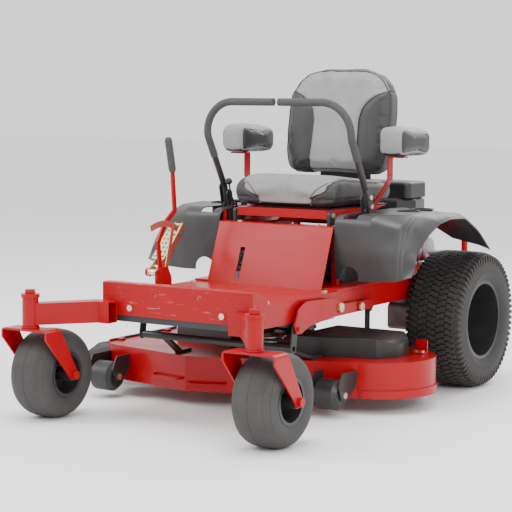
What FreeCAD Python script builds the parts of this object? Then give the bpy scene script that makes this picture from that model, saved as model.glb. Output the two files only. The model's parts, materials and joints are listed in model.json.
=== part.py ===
import FreeCAD, Part
import math
import os

from FreeCAD import Vector

# Zero turn mower, millimetres. The machine faces -Y, +X is the rider's left and the ground is z = 0.
# It is drawn about its centre plane (x = 0) and its drive axle (y = 0), and moved at the end so that
# the origin is the middle of its footprint on the ground.

# Wheels
driveTyreRadius, driveTyreWidth, driveTrack = 279.4, 241.0, 938.0
driveRimRadius, driveRimWidth = 152.0, 210.0
casterTyreRadius, casterTyreWidth, casterTrack = 165.1, 165.0, 966.0
casterRimRadius, casterRimWidth = 76.0, 150.0
wheelBase = 1482.0
casterTrail = 119.0
stemRadius, axleRadius, driveAxleRadius = 15.0, 10.0, 19.0
runningGap = 0.05
lugCount, lugCircle = 5, 50.0

# Main frame
railOuter, railWidth, railWall = 329.0, 50.0, 5.0
railBottom, railTop, railRear = 370.0, 450.0, 330.0
beamFront, beamDepth, beamTop, beamBottom, sheet = -1373.0, 41.0, 505.0, 385.0, 5.0
beamBoltSpacing, beamBoltHeight = 404.0, 414.0
accessorySpacing, accessoryHeight, accessoryRadius = 184.0, 468.0, 6.5
armBottom, armTop, armWall = 357.0, 436.0, 5.0
tubeRadius, tubeBottom, tubeTop = 30.0, 352.0, 456.0
platformRear, platformThickness = -788.0, 4.0
towerHalf, towerFront, towerRear, towerTop = 262.0, -700.0, -110.0, 690.0
hitchHoleRadius, hitchThickness = 10.0, 8.0
shelfTop = 462.0
forkHalf, forkPlate, crownTop = 106.0, 8.0, 344.0

# Fenders
fenderSkin, fenderInnerTop, fenderMidTop, fenderMidX = 5.0, 738.0, 744.0, 430.0
cupX, cupPlaces, cupRadius, cupDepth = 440.0, (-420.0, -300.0), 40.0, 76.0
throttleX, throttleY, throttleZ, throttlePin = -284.0, -560.0, 750.0, 3.0

# Seat
seatHingeY, seatHingeZ, seatPanHalf = -640.0, 728.0, 208.0
cushionHalf, cushionFront, cushionRear, cushionBottom = 250.0, -650.0, -150.0, 752.3
backHalf, backTop, backThickness, backLean = 262.0, 1318.0, 120.0, 9.0
armPadInner, armPadWidth, armPadLength, armPadFront = 312.0, 114.0, 260.0, -455.0
armPadBottom, armPadTop = 955.0, 1072.0
armBarY, armBarX, armBarThickness = -385.0, 336.0, 6.0

# Steering levers
leverX, leverPivotY, leverPivotZ = 329.0, -520.0, 600.0
leverTubeRadius, gripRadius, leverTop, leverFront = 12.7, 15.0, 1165.0, -700.0
leverFootZ, leverBendZ, swingPinZ, swingPinRadius = 742.0, 822.0, 750.0, 4.0

# Cutting deck
deckBottom, deckTop, deckWall = 61.0, 197.0, 4.0
bladeRadius, bladeWidth, bladeThickness, bladeHeight = 210.0, 62.0, 6.0, 88.0
spindleSide, spindleSideY, spindleCentreX, spindleCentreY = 400.0, -585.0, -5.0, -748.0
shellGap = 20.0
pulleyRadius, pulleyHeight = 66.0, 242.0
coverTop = 272.0
rollerRadius, rollerLength, rollerHeight = 58.0, 105.0, 86.0
rollerPlaces = {"left": (374.0, -908.0), "right": (-560.0, -1052.0)}
bladeTurn = {"left": 24.0, "centre": 70.0, "right": 118.0}
chuteLength, chuteDrop = 150.0, 95.0

# Deck lift
frontPivotY, frontPivotZ = -650.0, 386.0
rearPivotY, rearPivotZ = -600.0, 397.0
hangerY, hangerZ, rearHangerY = -1105.0, 350.0, -400.0
pedalPivotY, pedalPivotZ = -985.0, 500.0

# Power train
enginePlateTop, engineY = 456.0, 150.0
pumpX, pumpY, tractionPulleyRadius = 215.0, -10.0, 52.0

nodes = {}


def block(x, y, z):
    return Part.makeBox(x[1] - x[0], y[1] - y[0], z[1] - z[0], Vector(x[0], y[0], z[0]))


def rod(start, end, radius):
    run = Vector(*end) - Vector(*start)
    return Part.makeCylinder(radius, run.Length, Vector(*start), run)


def pipe(start, end, outer, inner):
    return rod(start, end, outer).cut(rod(start, end, inner))


def place(axis, u, v, w):
    """A point from its two coordinates in the plane across an axis and one along the axis."""
    return {"x": Vector(w, u, v), "y": Vector(u, w, v), "z": Vector(u, v, w)}[axis]


def along(axis, length):
    return place(axis, 0, 0, length)


def loop(points, axis, at):
    corners = [place(axis, u, v, at) for u, v in points]
    return Part.makePolygon(corners + corners[:1])


def prism(points, axis, span):
    face = Part.Face(loop(points, axis, span[0]))
    return face.extrude(along(axis, span[1] - span[0]))


def wirePrism(wire, height):
    return Part.Face(wire).extrude(Vector(0, 0, height))


def fuse(shapes):
    return shapes[0].multiFuse(shapes[1:]).removeSplitter() if len(shapes) > 1 else shapes[0]


def group(shapes):
    return Part.makeCompound([solid for shape in shapes for solid in shape.Solids])


def mirror(shape):
    return shape.mirror(Vector(0, 0, 0), Vector(1, 0, 0))


def bothSides(shape):
    return group([shape, mirror(shape)])


def turned(profile, centre, axis="x"):
    """A ring turned from points of (distance along the axis, radius)."""
    points = [Vector(a, r, 0) if axis == "x" else Vector(r, 0, a) for a, r in profile]
    face = Part.Face(Part.makePolygon(points + points[:1]))
    turnAxis = Vector(1, 0, 0) if axis == "x" else Vector(0, 0, 1)
    ring = face.revolve(Vector(0, 0, 0), turnAxis, 360)
    ring.translate(Vector(*centre))
    return ring


def hexagon(start, end, acrossFlats):
    run = Vector(*end) - Vector(*start)
    corner = acrossFlats / math.sqrt(3)
    points = [Vector(corner * math.cos(math.radians(60 * i)), corner * math.sin(math.radians(60 * i)), 0)
              for i in range(6)]
    bar = Part.Face(Part.makePolygon(points + points[:1])).extrude(Vector(0, 0, run.Length))
    bar.Placement = FreeCAD.Placement(Vector(*start), FreeCAD.Rotation(Vector(0, 0, 1), run))
    return bar


def bolt(face, direction, radius, grip, head=1.8):
    """A bolt whose head stands on a face; direction points out of the face and grip is its depth."""
    out = Vector(*direction)
    start = Vector(*face)
    top = hexagon(tuple(start), tuple(start + out * radius * 1.2), radius * 2 * head)
    shank = rod(tuple(start - out * grip), tuple(start + out * radius), radius)
    return top.fuse(shank).removeSplitter()


def flatBar(points, width, axis, span):
    """A flat bar that follows points in the plane across an axis, round at its ends and corners."""
    half = width / 2
    pieces = []
    for (u0, v0), (u1, v1) in zip(points, points[1:]):
        length = math.hypot(u1 - u0, v1 - v0)
        nu, nv = -(v1 - v0) / length * half, (u1 - u0) / length * half
        corners = [(u0 + nu, v0 + nv), (u1 + nu, v1 + nv), (u1 - nu, v1 - nv), (u0 - nu, v0 - nv)]
        pieces.append(prism(corners, axis, span))
    for u, v in points:
        pieces.append(Part.makeCylinder(half, span[1] - span[0], place(axis, u, v, span[0]), along(axis, 1)))
    return fuse(pieces)


def bentPath(points, bend):
    """Straight runs joined by tangent arcs of one radius, or of one radius for each inner corner."""
    corners = [Vector(*p) for p in points]
    bends = bend if isinstance(bend, list) else [bend] * (len(corners) - 2)
    edges, last = [], corners[0]
    for before, here, after, radius in zip(corners, corners[1:], corners[2:], bends):
        into = (here - before).normalize()
        out = (after - here).normalize()
        turn = into.getAngle(out)
        back = radius * math.tan(turn / 2)
        first, second = here - into * back, here + out * back
        inward = (out - into).normalize()
        middle = here + inward * (radius / math.cos(turn / 2) - radius)
        if (first - last).Length > 0.01:
            edges.append(Part.LineSegment(last, first).toShape())
        edges.append(Part.Arc(first, middle, second).toShape())
        last = second
    edges.append(Part.LineSegment(last, corners[-1]).toShape())
    return Part.Wire(edges)


def bentRod(points, radius, bend):
    path = bentPath(points, bend)
    start = Vector(*points[0])
    circle = Part.makeCircle(radius, start, Vector(*points[1]) - start)
    return path.makePipeShell([Part.Wire(circle)], True, True)


def roundEdges(shape, radius, test):
    edges = [e for e in shape.Edges if test(e)]
    return shape.makeFillet(radius, edges)


def isAlong(edge, axis):
    if not isinstance(edge.Curve, Part.Line):
        return False
    direction = edge.Curve.Direction
    return abs(abs(getattr(direction, axis)) - 1) < 1e-6


# frame

def makeRail():
    y = (beamFront + beamDepth, railRear)
    outer = block((railOuter - railWidth, railOuter), y, (railBottom, railTop))
    inner = block((railOuter - railWidth + railWall, railOuter - railWall), (y[0] - 1, y[1] + 1),
                  (railBottom + railWall, railTop - railWall))
    rail = outer.cut(inner)
    for pivotY, pivotZ in ((frontPivotY, frontPivotZ), (rearPivotY, rearPivotZ)):
        hole = rod((railOuter - railWidth - 1, pivotY, pivotZ), (railOuter + 1, pivotY, pivotZ), 10.0)
        rail = rail.cut(hole)
    return rail


def makeFrontBeam():
    y = (beamFront, beamFront + beamDepth)
    x = (-railOuter, railOuter)
    face = block(x, (y[0], y[0] + sheet), (beamBottom, beamTop))
    top = block(x, y, (beamTop - sheet, beamTop))
    lip = block(x, (y[0], y[0] + 22), (beamBottom, beamBottom + sheet))
    ends = [block((e, e + sheet), y, (railTop, beamTop)) for e in (-railOuter, railOuter - sheet)]
    beam = fuse([face, top, lip] + ends)
    beam = roundEdges(beam, 4, lambda e: isAlong(e, "x") and e.CenterOfMass.z > beamTop - 0.1
                      and e.CenterOfMass.y < beamFront + 0.1)
    for x0, z0, r in ((beamBoltSpacing / 2, beamBoltHeight, 6.0),
                      (accessorySpacing / 2, accessoryHeight, accessoryRadius)):
        for side in (-1, 1):
            beam = beam.cut(rod((side * x0, y[0] - 1, z0), (side * x0, y[0] + sheet + 1, z0), r))
    return beam


def makeBeamGussets():
    y0, z0 = beamFront + beamDepth, railTop + platformThickness
    corners = [(y0, z0), (y0, beamTop - sheet), (y0 + 58, z0 + 12), (y0 + 58, z0)]
    return bothSides(prism(corners, "x", (railOuter - sheet, railOuter)))


def makeCrossTube():
    y = (beamFront + beamDepth - 36, beamFront + beamDepth)
    half = railOuter - railWidth
    outer = block((-half, half), y, (railBottom - 8, beamBottom))
    return outer.cut(block((-half - 1, half + 1), (y[0] + 3, y[1] - 3), (railBottom - 5, beamBottom - 3)))


def casterPoint(side=1):
    return side * casterTrack / 2, -wheelBase - casterTrail


def makeCasterArm():
    cx, cy = casterPoint()
    plan = [(262, beamFront - 54), (262, beamFront), (358, beamFront), (cx + 21, cy + 17),
            (cx - 21, cy - 17), (312, beamFront - 54)]
    outer = prism(plan, "z", (armBottom, armTop))
    core = Part.Wire(loop(plan, "z", armBottom + armWall)).makeOffset2D(-armWall)
    inner = wirePrism(core, armTop - armBottom - 2 * armWall)
    mouth = block((261, 270), (beamFront - 49, beamFront - 5), (armBottom + armWall, armTop - armWall))
    arm = outer.cut(inner).cut(mouth)
    return arm.cut(rod((cx, cy, armBottom - 9), (cx, cy, armTop + 9), tubeRadius))


def makeCasterTube():
    cx, cy = casterPoint()
    return pipe((cx, cy, tubeBottom), (cx, cy, tubeTop), tubeRadius, tubeRadius - 7)


def makeCasterBushes():
    cx, cy = casterPoint()
    outer, inner, depth = tubeRadius - 7, stemRadius + runningGap, 28
    low = pipe((cx, cy, tubeBottom), (cx, cy, tubeBottom + depth), outer, inner)
    high = pipe((cx, cy, tubeTop - depth), (cx, cy, tubeTop), outer, inner)
    return bothSides(group([low, high]))


def makePlatform():
    y = (beamFront + beamDepth, platformRear + 9)
    z = (railTop, railTop + platformThickness)
    pan = block((-railOuter, railOuter), y, z)
    for row in range(3):
        for side in (-1, 1):
            x0, y0 = side * 150, y[0] + 70 + row * 45
            rib = rod((x0 - 90, y0, z[1]), (x0 + 90, y0, z[1]), 3.5)
            pan = pan.fuse(rib.common(block((-railOuter, railOuter), y, (z[0] + 1, z[1] + 4))))
    return pan.removeSplitter()


def makeConsole():
    low, high = (platformRear, railTop + platformThickness), (towerFront, towerTop)
    t = 3.0
    side = [low, (low[0] + t, low[1]), (high[0] + t, high[1] - t), (seatHingeY, high[1] - t),
            (seatHingeY, high[1]), high]
    panel = prism(side, "x", (-towerHalf, towerHalf))
    slot = prism([(-137, 474), (-117, 474), (-117, 594), (-137, 594)], "y", (low[0] - 5, high[0] + 60))
    panel = panel.cut(slot)
    return roundEdges(panel, 8, lambda e: isAlong(e, "x") and abs(e.CenterOfMass.y - high[0]) < 0.1
                      and abs(e.CenterOfMass.z - high[1]) < 0.1)


def makeTowerPosts():
    """Four posts, two side rails and two cross rails that carry the seat."""
    post, z = 24, (shelfTop, towerTop - 3)
    x = (towerHalf - post, towerHalf)
    front = block(x, (seatHingeY - 30, seatHingeY - 30 + post), z)
    rear = block(x, (towerRear - post, towerRear), z)
    rail = block(x, (seatHingeY - 30 + post, towerRear - post), (z[1] - post, z[1]))
    cross = block((-x[0], x[0]), (-280, -240), (z[1] - post, z[1]))
    return group([bothSides(front), bothSides(rear), bothSides(rail), cross])


def makeFenderStays():
    """Stays from the tower's side up to the flat of each fender's underside."""
    slope = (fenderMidTop - fenderInnerTop) / (fenderMidX - towerHalf - 2)
    inner, outer, low = towerHalf + 2, leverX - 31, fenderInnerTop - fenderSkin
    side = [(towerHalf, 664), (inner + 4, 664), (inner + 4, low - 9), (outer, low - 9),
            (outer, low + slope * (outer - inner)), (inner, low), (towerHalf, low)]
    return bothSides(group([prism(side, "y", (-460, -420)), prism(side, "y", (-668, -648))]))


def makeSeatHingeBrackets():
    x = (seatPanHalf + 2, seatPanHalf + 16)
    ear = block(x, (seatHingeY - 22, seatHingeY + 18), (towerTop, seatHingeZ + 15))
    ear = roundEdges(ear, 12, lambda e: isAlong(e, "x") and e.CenterOfMass.z > seatHingeZ)
    ear = ear.cut(rod((x[0] - 1, seatHingeY, seatHingeZ), (x[1] + 1, seatHingeY, seatHingeZ), 6.0))
    return bothSides(ear)


def makeSeatHingeBolts():
    head = seatPanHalf + 16
    pin = rod((seatPanHalf - 12, seatHingeY, seatHingeZ), (head, seatHingeY, seatHingeZ), 6.0)
    cap = hexagon((head, seatHingeY, seatHingeZ), (head + 8, seatHingeY, seatHingeZ), 18)
    return bothSides(pin.fuse(cap).removeSplitter())


def makeSeatBumpers():
    return bothSides(rod((150, -260, towerTop - 3), (150, -260, seatHingeZ + 15.7), 16))


# fenders

# Each section is (x, outline points of y and z from the front hem over the top to the rear tip).
fenderSections = [
    (towerHalf + 2, [(-690, 490), (-697, 600), (-700, 722), (-676, 738), (-400, 738), (-200, 738),
                     (-100, 734), (-40, 715)]),
    (430, [(-712, 490), (-716, 600), (-706, 722), (-676, 744), (-400, 744), (-230, 738),
           (-90, 694), (0, 612)]),
    (540, [(-716, 498), (-712, 606), (-664, 708), (-570, 742), (-400, 744), (-250, 734),
           (-110, 672), (20, 588)]),
    (606, [(-714, 520), (-660, 602), (-572, 668), (-474, 706), (-380, 722), (-250, 717),
           (-120, 656), (-8, 574)]),
]


def offsetInward(points, distance):
    """Each point moved towards the inside of the outline, square to the line through its neighbours."""
    moved = []
    for i, (y, z) in enumerate(points):
        y0, z0 = points[max(i - 1, 0)]
        y1, z1 = points[min(i + 1, len(points) - 1)]
        length = math.hypot(y1 - y0, z1 - z0)
        moved.append((y + (z1 - z0) / length * distance, z - (y1 - y0) / length * distance))
    return moved


def makeFender():
    wires = []
    for x, points in fenderSections:
        ring = points + list(reversed(offsetInward(points, fenderSkin)))
        wires.append(Part.Wire(loop(ring, "x", x)))
    shell = Part.makeLoft(wires, True, True)
    slot = block((leverX - 30, leverX + 30), (-692, -470), (690, 760))
    shell = shell.cut(slot)
    for y in cupPlaces:
        shell = shell.cut(rod((cupX, y, 700), (cupX, y, 770), cupRadius))
    arch = rod((leverX + 5, -740, 500), (leverX + 5, -660, 500), 42)
    return shell.cut(arch)


def makeCups():
    cups = []
    for y in cupPlaces:
        top, wall = 744.0, 3.0
        cup = rod((cupX, y, top - cupDepth), (cupX, y, top), cupRadius)
        cup = cup.cut(rod((cupX, y, top - cupDepth + wall), (cupX, y, top + 1), cupRadius - wall))
        rim = pipe((cupX, y, top), (cupX, y, top + wall), cupRadius + 6, cupRadius - wall)
        cups.append(cup.fuse(rim).removeSplitter())
    return bothSides(group(cups))


# seat

def makeSeatPan():
    inner = seatPanHalf - 5
    top = block((-seatPanHalf, seatPanHalf), (-650, -180), (744, 748))
    front = block((-inner, inner), (-655, -650), (714, 748))
    wings = []
    for side in (-1, 1):
        wing = prism([(-655, 712), (-300, 724), (-200, 744), (-655, 744)], "x", (inner, seatPanHalf))
        wings.append(wing if side > 0 else mirror(wing))
    pan = fuse([top, front] + wings)
    return pan.cut(rod((-230, seatHingeY, seatHingeZ), (230, seatHingeY, seatHingeZ), 6.0 + runningGap))


def makeSeatTracks():
    rail = block((150, 170), (-600, -200), (748, 750))
    return bothSides(rail)


def makeSeatBase():
    """The sliding base under the cushion, with the ears for the arms and the spine for the backrest."""
    plate = block((-200, 200), (-610, -144.8), (750.1, 752))
    spine = flatBar([(-147.3, 753.5), (-147.3, 889), (-132.1, 985)], 5, "x", (-120, 120))
    ears = []
    for side in (-1, 1):
        ear = block((200, 255), (armBarY - 22, armBarY + 22), (748.5, 752))
        ears.append(ear if side > 0 else mirror(ear))
    return fuse([plate, spine.cut(block((-130, 130), (-160, -130), (740, 750.1)))] + ears)


def makeArmBars():
    y = (armBarY - 20, armBarY + 20)
    bar = flatBar([(258, 745.5), (armBarX, 860), (armBarX, armPadBottom - 12)], armBarThickness, "y", y)
    foot = block((228, 258), y, (742.5, 748.5))
    seat = block((armBarX - 3, armBarX + 70), y, (armPadBottom - 6, armPadBottom - 0.3))
    riser = block((armBarX - 3, armBarX + 3), y, (armPadBottom - 14, armPadBottom - 0.3))
    return bothSides(fuse([bar, foot, seat, riser]))


def makeCushion():
    side = [(-630, cushionBottom), (cushionFront, 800), (cushionFront + 12, 858), (-600, 884), (-420, 872),
            (cushionRear, 850), (cushionRear, cushionBottom)]
    pad = prism(side, "x", (-cushionHalf, cushionHalf))
    return roundEdges(pad, 14, lambda e: abs(abs(e.CenterOfMass.x) - cushionHalf) < 0.1
                      and e.CenterOfMass.z > cushionBottom + 1)


def makeBackrest():
    low, high = 868.0, backTop - 4
    outline = [(-235, low), (235, low), (backHalf, low + 90), (backHalf, high - 110), (backHalf - 110, high),
               (-backHalf + 110, high), (-backHalf, high - 110), (-backHalf, low + 90)]
    pad = prism(outline, "y", (-backThickness / 2, backThickness / 2))
    pad = roundEdges(pad, 16, lambda e: abs(abs(e.CenterOfMass.y) - backThickness / 2) < 0.1)
    pad.rotate(Vector(0, 0, low), Vector(1, 0, 0), -backLean)
    pad.translate(Vector(0, -214, 0))
    return pad


def makeArmPad():
    pad = block((armPadInner, armPadInner + armPadWidth), (armPadFront, armPadFront + armPadLength),
                (armPadBottom, armPadTop))
    return pad.makeFillet(24, [e for e in pad.Edges if e.CenterOfMass.z > armPadBottom + 1])


# steering levers

def leverPath():
    return [(leverX, leverPivotY - 26, leverFootZ), (leverX, leverPivotY - 46, leverBendZ),
            (leverX, leverFront + 12, 1030), (leverX, leverFront, leverTop), (16, leverFront, leverTop)]


def swingPin(radius):
    """The fore and aft pin that each lap bar swings out on."""
    y = leverPivotY - 28
    return rod((leverX, y - 24, swingPinZ), (leverX, y + 20, swingPinZ), radius)


def makeLeverBar():
    """The lap bar, with a flat plate and two bolt heads on the outside of its foot."""
    bar = bentRod(leverPath(), leverTubeRadius, [60, 60, 125])
    x = leverX + 11
    low, high = (leverPivotY - 28.5, swingPinZ + 2), (leverPivotY - 45, leverBendZ - 4)
    plate = flatBar([low, high], 36, "x", (x, x + 5))
    bolts = [bolt((x + 5, low[0] - dy, low[1] + dz), (1, 0, 0), 5, 0) for dy, dz in ((3, 12), (12, 48))]
    return group([bar.fuse(plate).cut(swingPin(swingPinRadius + runningGap))] + bolts)


def makeGrip():
    (x, y1, z1), (_, y2, z2) = leverPath()[1:3]
    part = 0.6
    start = (x, y1 + (y2 - y1) * part, z1 + (z2 - z1) * part)
    points = [start] + leverPath()[2:]
    points[-1] = (points[-1][0] - 4, leverFront, leverTop)
    sleeve = bentRod(points, gripRadius, [60, 125])
    return sleeve.cut(bentRod(leverPath(), leverTubeRadius, [60, 60, 125]))


def makeLeverBase():
    """Pivot hub, upright plate and the tab with the pin that the lap bar swings on."""
    inner = leverX - 20.5
    hub = pipe((inner, leverPivotY, leverPivotZ), (leverX + 16, leverPivotY, leverPivotZ), 20,
               8 + runningGap)
    points = [(leverPivotY, leverPivotZ), (leverPivotY - 12, 690), (leverPivotY - 38, 790)]
    plate = flatBar(points, 38, "x", (inner, inner + 5))
    plate = plate.cut(rod((inner - 1, leverPivotY, leverPivotZ), (leverX, leverPivotY, leverPivotZ),
                          8 + runningGap))
    tab = block((inner, leverX + 6.5), (leverPivotY - 12, leverPivotY - 6), (swingPinZ - 9, swingPinZ + 9))
    y = leverPivotY - 46
    head = hexagon((leverX, y - 6, swingPinZ), (leverX, y, swingPinZ), 13)
    return fuse([hub, plate, tab, swingPin(swingPinRadius), head])


def makeLeverPivots():
    """The fixed shaft that each steering lever turns on, on a bracket from the tower."""
    shaft = rod((towerHalf + 14, leverPivotY, leverPivotZ), (leverX + 26, leverPivotY, leverPivotZ), 8)
    head = hexagon((leverX + 19, leverPivotY, leverPivotZ), (leverX + 28, leverPivotY, leverPivotZ), 24)
    bracket = block((towerHalf, towerHalf + 14), (leverPivotY - 30, leverPivotY + 30),
                    (leverPivotZ - 40, towerTop - 3))
    return bothSides(fuse([shaft, head, bracket]))


def makeDampers():
    """The damper that steadies each steering lever, from the tower to just short of the lever."""
    body = rod((leverX - 40, towerRear - 20, 553), (leverX - 40, -340, 581), 11)
    stem = rod((leverX - 40, -340, 581), (leverX - 40, -485, 600), 5)
    mount = block((towerHalf, leverX - 28), (towerRear - 24, towerRear - 2), (538, 568))
    return bothSides(fuse([body, stem, mount]))


# wheels

def makeTyre(radius, width, rimRadius, rimWidth, wall, crown):
    """A hollow carcass, open to the rim between its beads, which lean on the rim's flanges."""
    half, bead, seat = width / 2, rimWidth / 2 - 4, rimRadius + 0.3
    mid = (radius + rimRadius) / 2
    outer = [(-bead, seat), (-bead, rimRadius + 12), (-half, mid - 12), (-half, mid + 14),
             (-half + 10, radius - crown), (-half + 34, radius - 4), (0, radius)]
    full = outer + [(-a, r) for a, r in reversed(outer[:-1])]
    inner = [(-bead + wall, seat), (-half + wall, mid - 8), (-half + wall, mid + 10),
             (-half + wall + 12, radius - crown - 6), (0, radius - wall - 4)]
    hollow = inner + [(-a, r) for a, r in reversed(inner[:-1])]
    return full + list(reversed(hollow))


def makeDriveTyre():
    profile = makeTyre(driveTyreRadius, driveTyreWidth, driveRimRadius, driveRimWidth, 14, 22)
    return turned(profile, (driveTrack / 2, 0, driveTyreRadius))


def makeDriveRim():
    half, r = driveRimWidth / 2, driveRimRadius
    disc = -70
    profile = [(-half, r + 11), (-half, r - 4), (disc, r - 6), (disc, driveAxleRadius + 8),
               (disc + 5, driveAxleRadius + 8), (disc + 5, r - 6), (half, r - 4), (half, r + 11),
               (half - 4, r + 11), (half - 4, r), (-half + 4, r), (-half + 4, r + 11)]
    rim = turned(profile, (driveTrack / 2, 0, driveTyreRadius))
    x = driveTrack / 2 + disc
    for i in range(lugCount):
        y, z = lugPlace(i)
        rim = rim.cut(rod((x - 2, y, z), (x + 9, y, z), 6.0))
    return rim


def lugPlace(i):
    angle = 2 * math.pi * i / lugCount + math.pi / 2
    return lugCircle * math.cos(angle), driveTyreRadius + lugCircle * math.sin(angle)


def makeDriveHub():
    x, z = driveTrack / 2 - 70, driveTyreRadius
    shaft = rod((x - 160, 0, z), (x + 12, 0, z), driveAxleRadius)
    flange = rod((x - 10, 0, z), (x, 0, z), 64)
    return shaft.fuse(flange).removeSplitter()


def makeLugNuts():
    x = driveTrack / 2 - 70
    lugs = []
    for i in range(lugCount):
        y, z = lugPlace(i)
        stud = rod((x, y, z), (x + 22, y, z), 6.0)
        nut = hexagon((x + 5, y, z), (x + 16, y, z), 19)
        lugs.append(stud.fuse(nut).removeSplitter())
    return group(lugs)


def makeCasterTyre():
    profile = makeTyre(casterTyreRadius, casterTyreWidth, casterRimRadius, casterRimWidth, 10, 14)
    return turned(profile, (casterTrack / 2, -wheelBase, casterTyreRadius))


def makeCasterRim():
    half, r, hub = casterRimWidth / 2, casterRimRadius, 24
    bore, hubHalf = 18, 86
    profile = [(-half, r + 8), (-half, r - 4), (-4, r - 4), (-4, hub), (-hubHalf, hub), (-hubHalf, bore),
               (hubHalf, bore), (hubHalf, hub), (4, hub), (4, r - 4), (half, r - 4), (half, r + 8),
               (half - 4, r + 8), (half - 4, r), (-half + 4, r), (-half + 4, r + 8)]
    return turned(profile, (casterTrack / 2, -wheelBase, casterTyreRadius))


def makeCasterBearings():
    x, y, z = casterTrack / 2, -wheelBase, casterTyreRadius
    cups = []
    for side in (-1, 1):
        sleeve = pipe((x + side * 60, y, z), (x + side * 86, y, z), 18, axleRadius + runningGap)
        flange = pipe((x + side * 86, y, z), (x + side * 96, y, z), 23, axleRadius + runningGap)
        cups.append(sleeve.fuse(flange).removeSplitter())
    return group(cups)


# caster forks

def makeFork():
    cx, cy = casterPoint()
    y, z = -wheelBase, casterTyreRadius
    side = [(cy - 40, crownTop), (cy + 42, crownTop), (y + 21, z + 9), (y + 8, z - 20), (y - 14, z - 17),
            (cy - 40, crownTop - 34)]
    outer = prism(side, "x", (cx - forkHalf, cx + forkHalf))
    outer = roundEdges(outer, 16, lambda e: isAlong(e, "y") and e.CenterOfMass.z > crownTop - 0.1)
    inner = block((cx - forkHalf + forkPlate, cx + forkHalf - forkPlate), (cy - 60, y + 60),
                  (z - 40, crownTop - forkPlate))
    fork = outer.cut(inner)
    fork = fork.cut(rod((cx, cy, crownTop - 20), (cx, cy, crownTop + 5), stemRadius))
    return fork.cut(rod((cx - 120, y, z), (cx + 120, y, z), axleRadius))


def makeForkStem():
    cx, cy = casterPoint()
    stem = rod((cx, cy, crownTop - forkPlate), (cx, cy, tubeTop + 16), stemRadius)
    head = hexagon((cx, cy, tubeTop + 14), (cx, cy, tubeTop + 30), 36)
    return stem.fuse(head).removeSplitter()


def makeForkWashers():
    cx, cy = casterPoint()
    top = pipe((cx, cy, tubeTop + 0.3), (cx, cy, tubeTop + 14), 34, stemRadius)
    low = pipe((cx, cy, crownTop), (cx, cy, tubeBottom - 0.3), 33, stemRadius)
    return group([top, low])


def makeCasterAxle():
    x, y, z = casterTrack / 2, -wheelBase, casterTyreRadius
    shank = rod((x - forkHalf - 18, y, z), (x + forkHalf, y, z), axleRadius)
    head = hexagon((x + forkHalf, y, z), (x + forkHalf + 12, y, z), 30)
    nut = hexagon((x - forkHalf - 14, y, z), (x - forkHalf, y, z), 30)
    return fuse([shank, head, nut])


# cutting deck

deckApex = (-182.0, -1052.0)
deckSide, deckRearY = -645.0, spindleSideY + bladeRadius + shellGap


def spindles():
    left = (spindleCentreX + spindleSide, spindleSideY)
    right = (spindleCentreX - spindleSide, spindleSideY)
    return {"left": left, "centre": (spindleCentreX, spindleCentreY), "right": right}


def deckOutline(z):
    """The skirt's plan: a V front, a round left end about the left blade and a square right end."""
    cx, cy = spindles()["left"]
    r = bladeRadius + shellGap
    cornerX = cx + 40
    corner = Vector(cornerX, cy - math.sqrt(r * r - 40 * 40), z)
    rear = Vector(cx, cy + r, z)
    points = [rear, Vector(deckSide + 90, deckRearY, z), Vector(deckSide, deckRearY - 90, z),
              Vector(deckSide, -925, z), Vector(deckSide + 45, -966, z), Vector(*deckApex, z), corner]
    edges = [Part.LineSegment(a, b).toShape() for a, b in zip(points, points[1:])]
    edges.append(Part.Arc(corner, Vector(cx + r, cy, z), rear).toShape())
    return Part.Wire(edges)


def deckBody():
    return wirePrism(deckOutline(deckBottom), deckTop - deckBottom)


def makeDeckShell():
    outer = deckBody()
    cavity = deckOutline(deckBottom - 1).makeOffset2D(-deckWall)
    shell = outer.cut(wirePrism(cavity, deckTop - deckBottom - deckWall + 1))
    opening = block((deckSide - 20, deckSide + 20), (-880, -480), (deckBottom - 2, deckTop - 26))
    shell = shell.cut(opening)
    for x, y in spindles().values():
        shell = shell.cut(rod((x, y, deckTop - 20), (x, y, deckTop + 5), 36))
    return shell


def makeDeckBand():
    """The rolled band round the foot of the left end."""
    cx, cy = spindles()["left"]
    r = bladeRadius + shellGap
    ring = pipe((cx, cy, deckBottom), (cx, cy, deckBottom + 31), r + 6, r)
    keep = block((cx + 60, cx + 400), (cy - 400, cy + 400), (0, 400))
    return ring.common(keep)


def makeSpindleHousings():
    shapes = []
    for x, y in spindles().values():
        foot = pipe((x, y, deckTop), (x, y, deckTop + 8), 62, 30)
        neck = pipe((x, y, deckTop - 50), (x, y, deckTop + 34), 36, 30)
        shapes.append(foot.fuse(neck).removeSplitter())
    return group(shapes)


def makeSpindleBearings():
    shapes = []
    for x, y in spindles().values():
        for z in (deckTop - 48, deckTop + 16):
            shapes.append(pipe((x, y, z), (x, y, z + 15), 30, 15 + runningGap))
    return group(shapes)


def makeSpindle(name):
    x, y = spindles()[name]
    shaft = rod((x, y, bladeHeight + bladeThickness), (x, y, pulleyHeight + 18), 15)
    collar = rod((x, y, bladeHeight + bladeThickness), (x, y, deckTop - 50.5), 24)
    hub = rod((x, y, deckTop + 35), (x, y, pulleyHeight + 4), 26)
    low = rod((x, y, pulleyHeight - 4), (x, y, pulleyHeight), pulleyRadius + 8)
    groove = rod((x, y, pulleyHeight), (x, y, pulleyHeight + 12), pulleyRadius - 0.4)
    high = rod((x, y, pulleyHeight + 12), (x, y, pulleyHeight + 16), pulleyRadius + 8)
    return fuse([shaft, collar, hub, low, groove, high])


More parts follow.
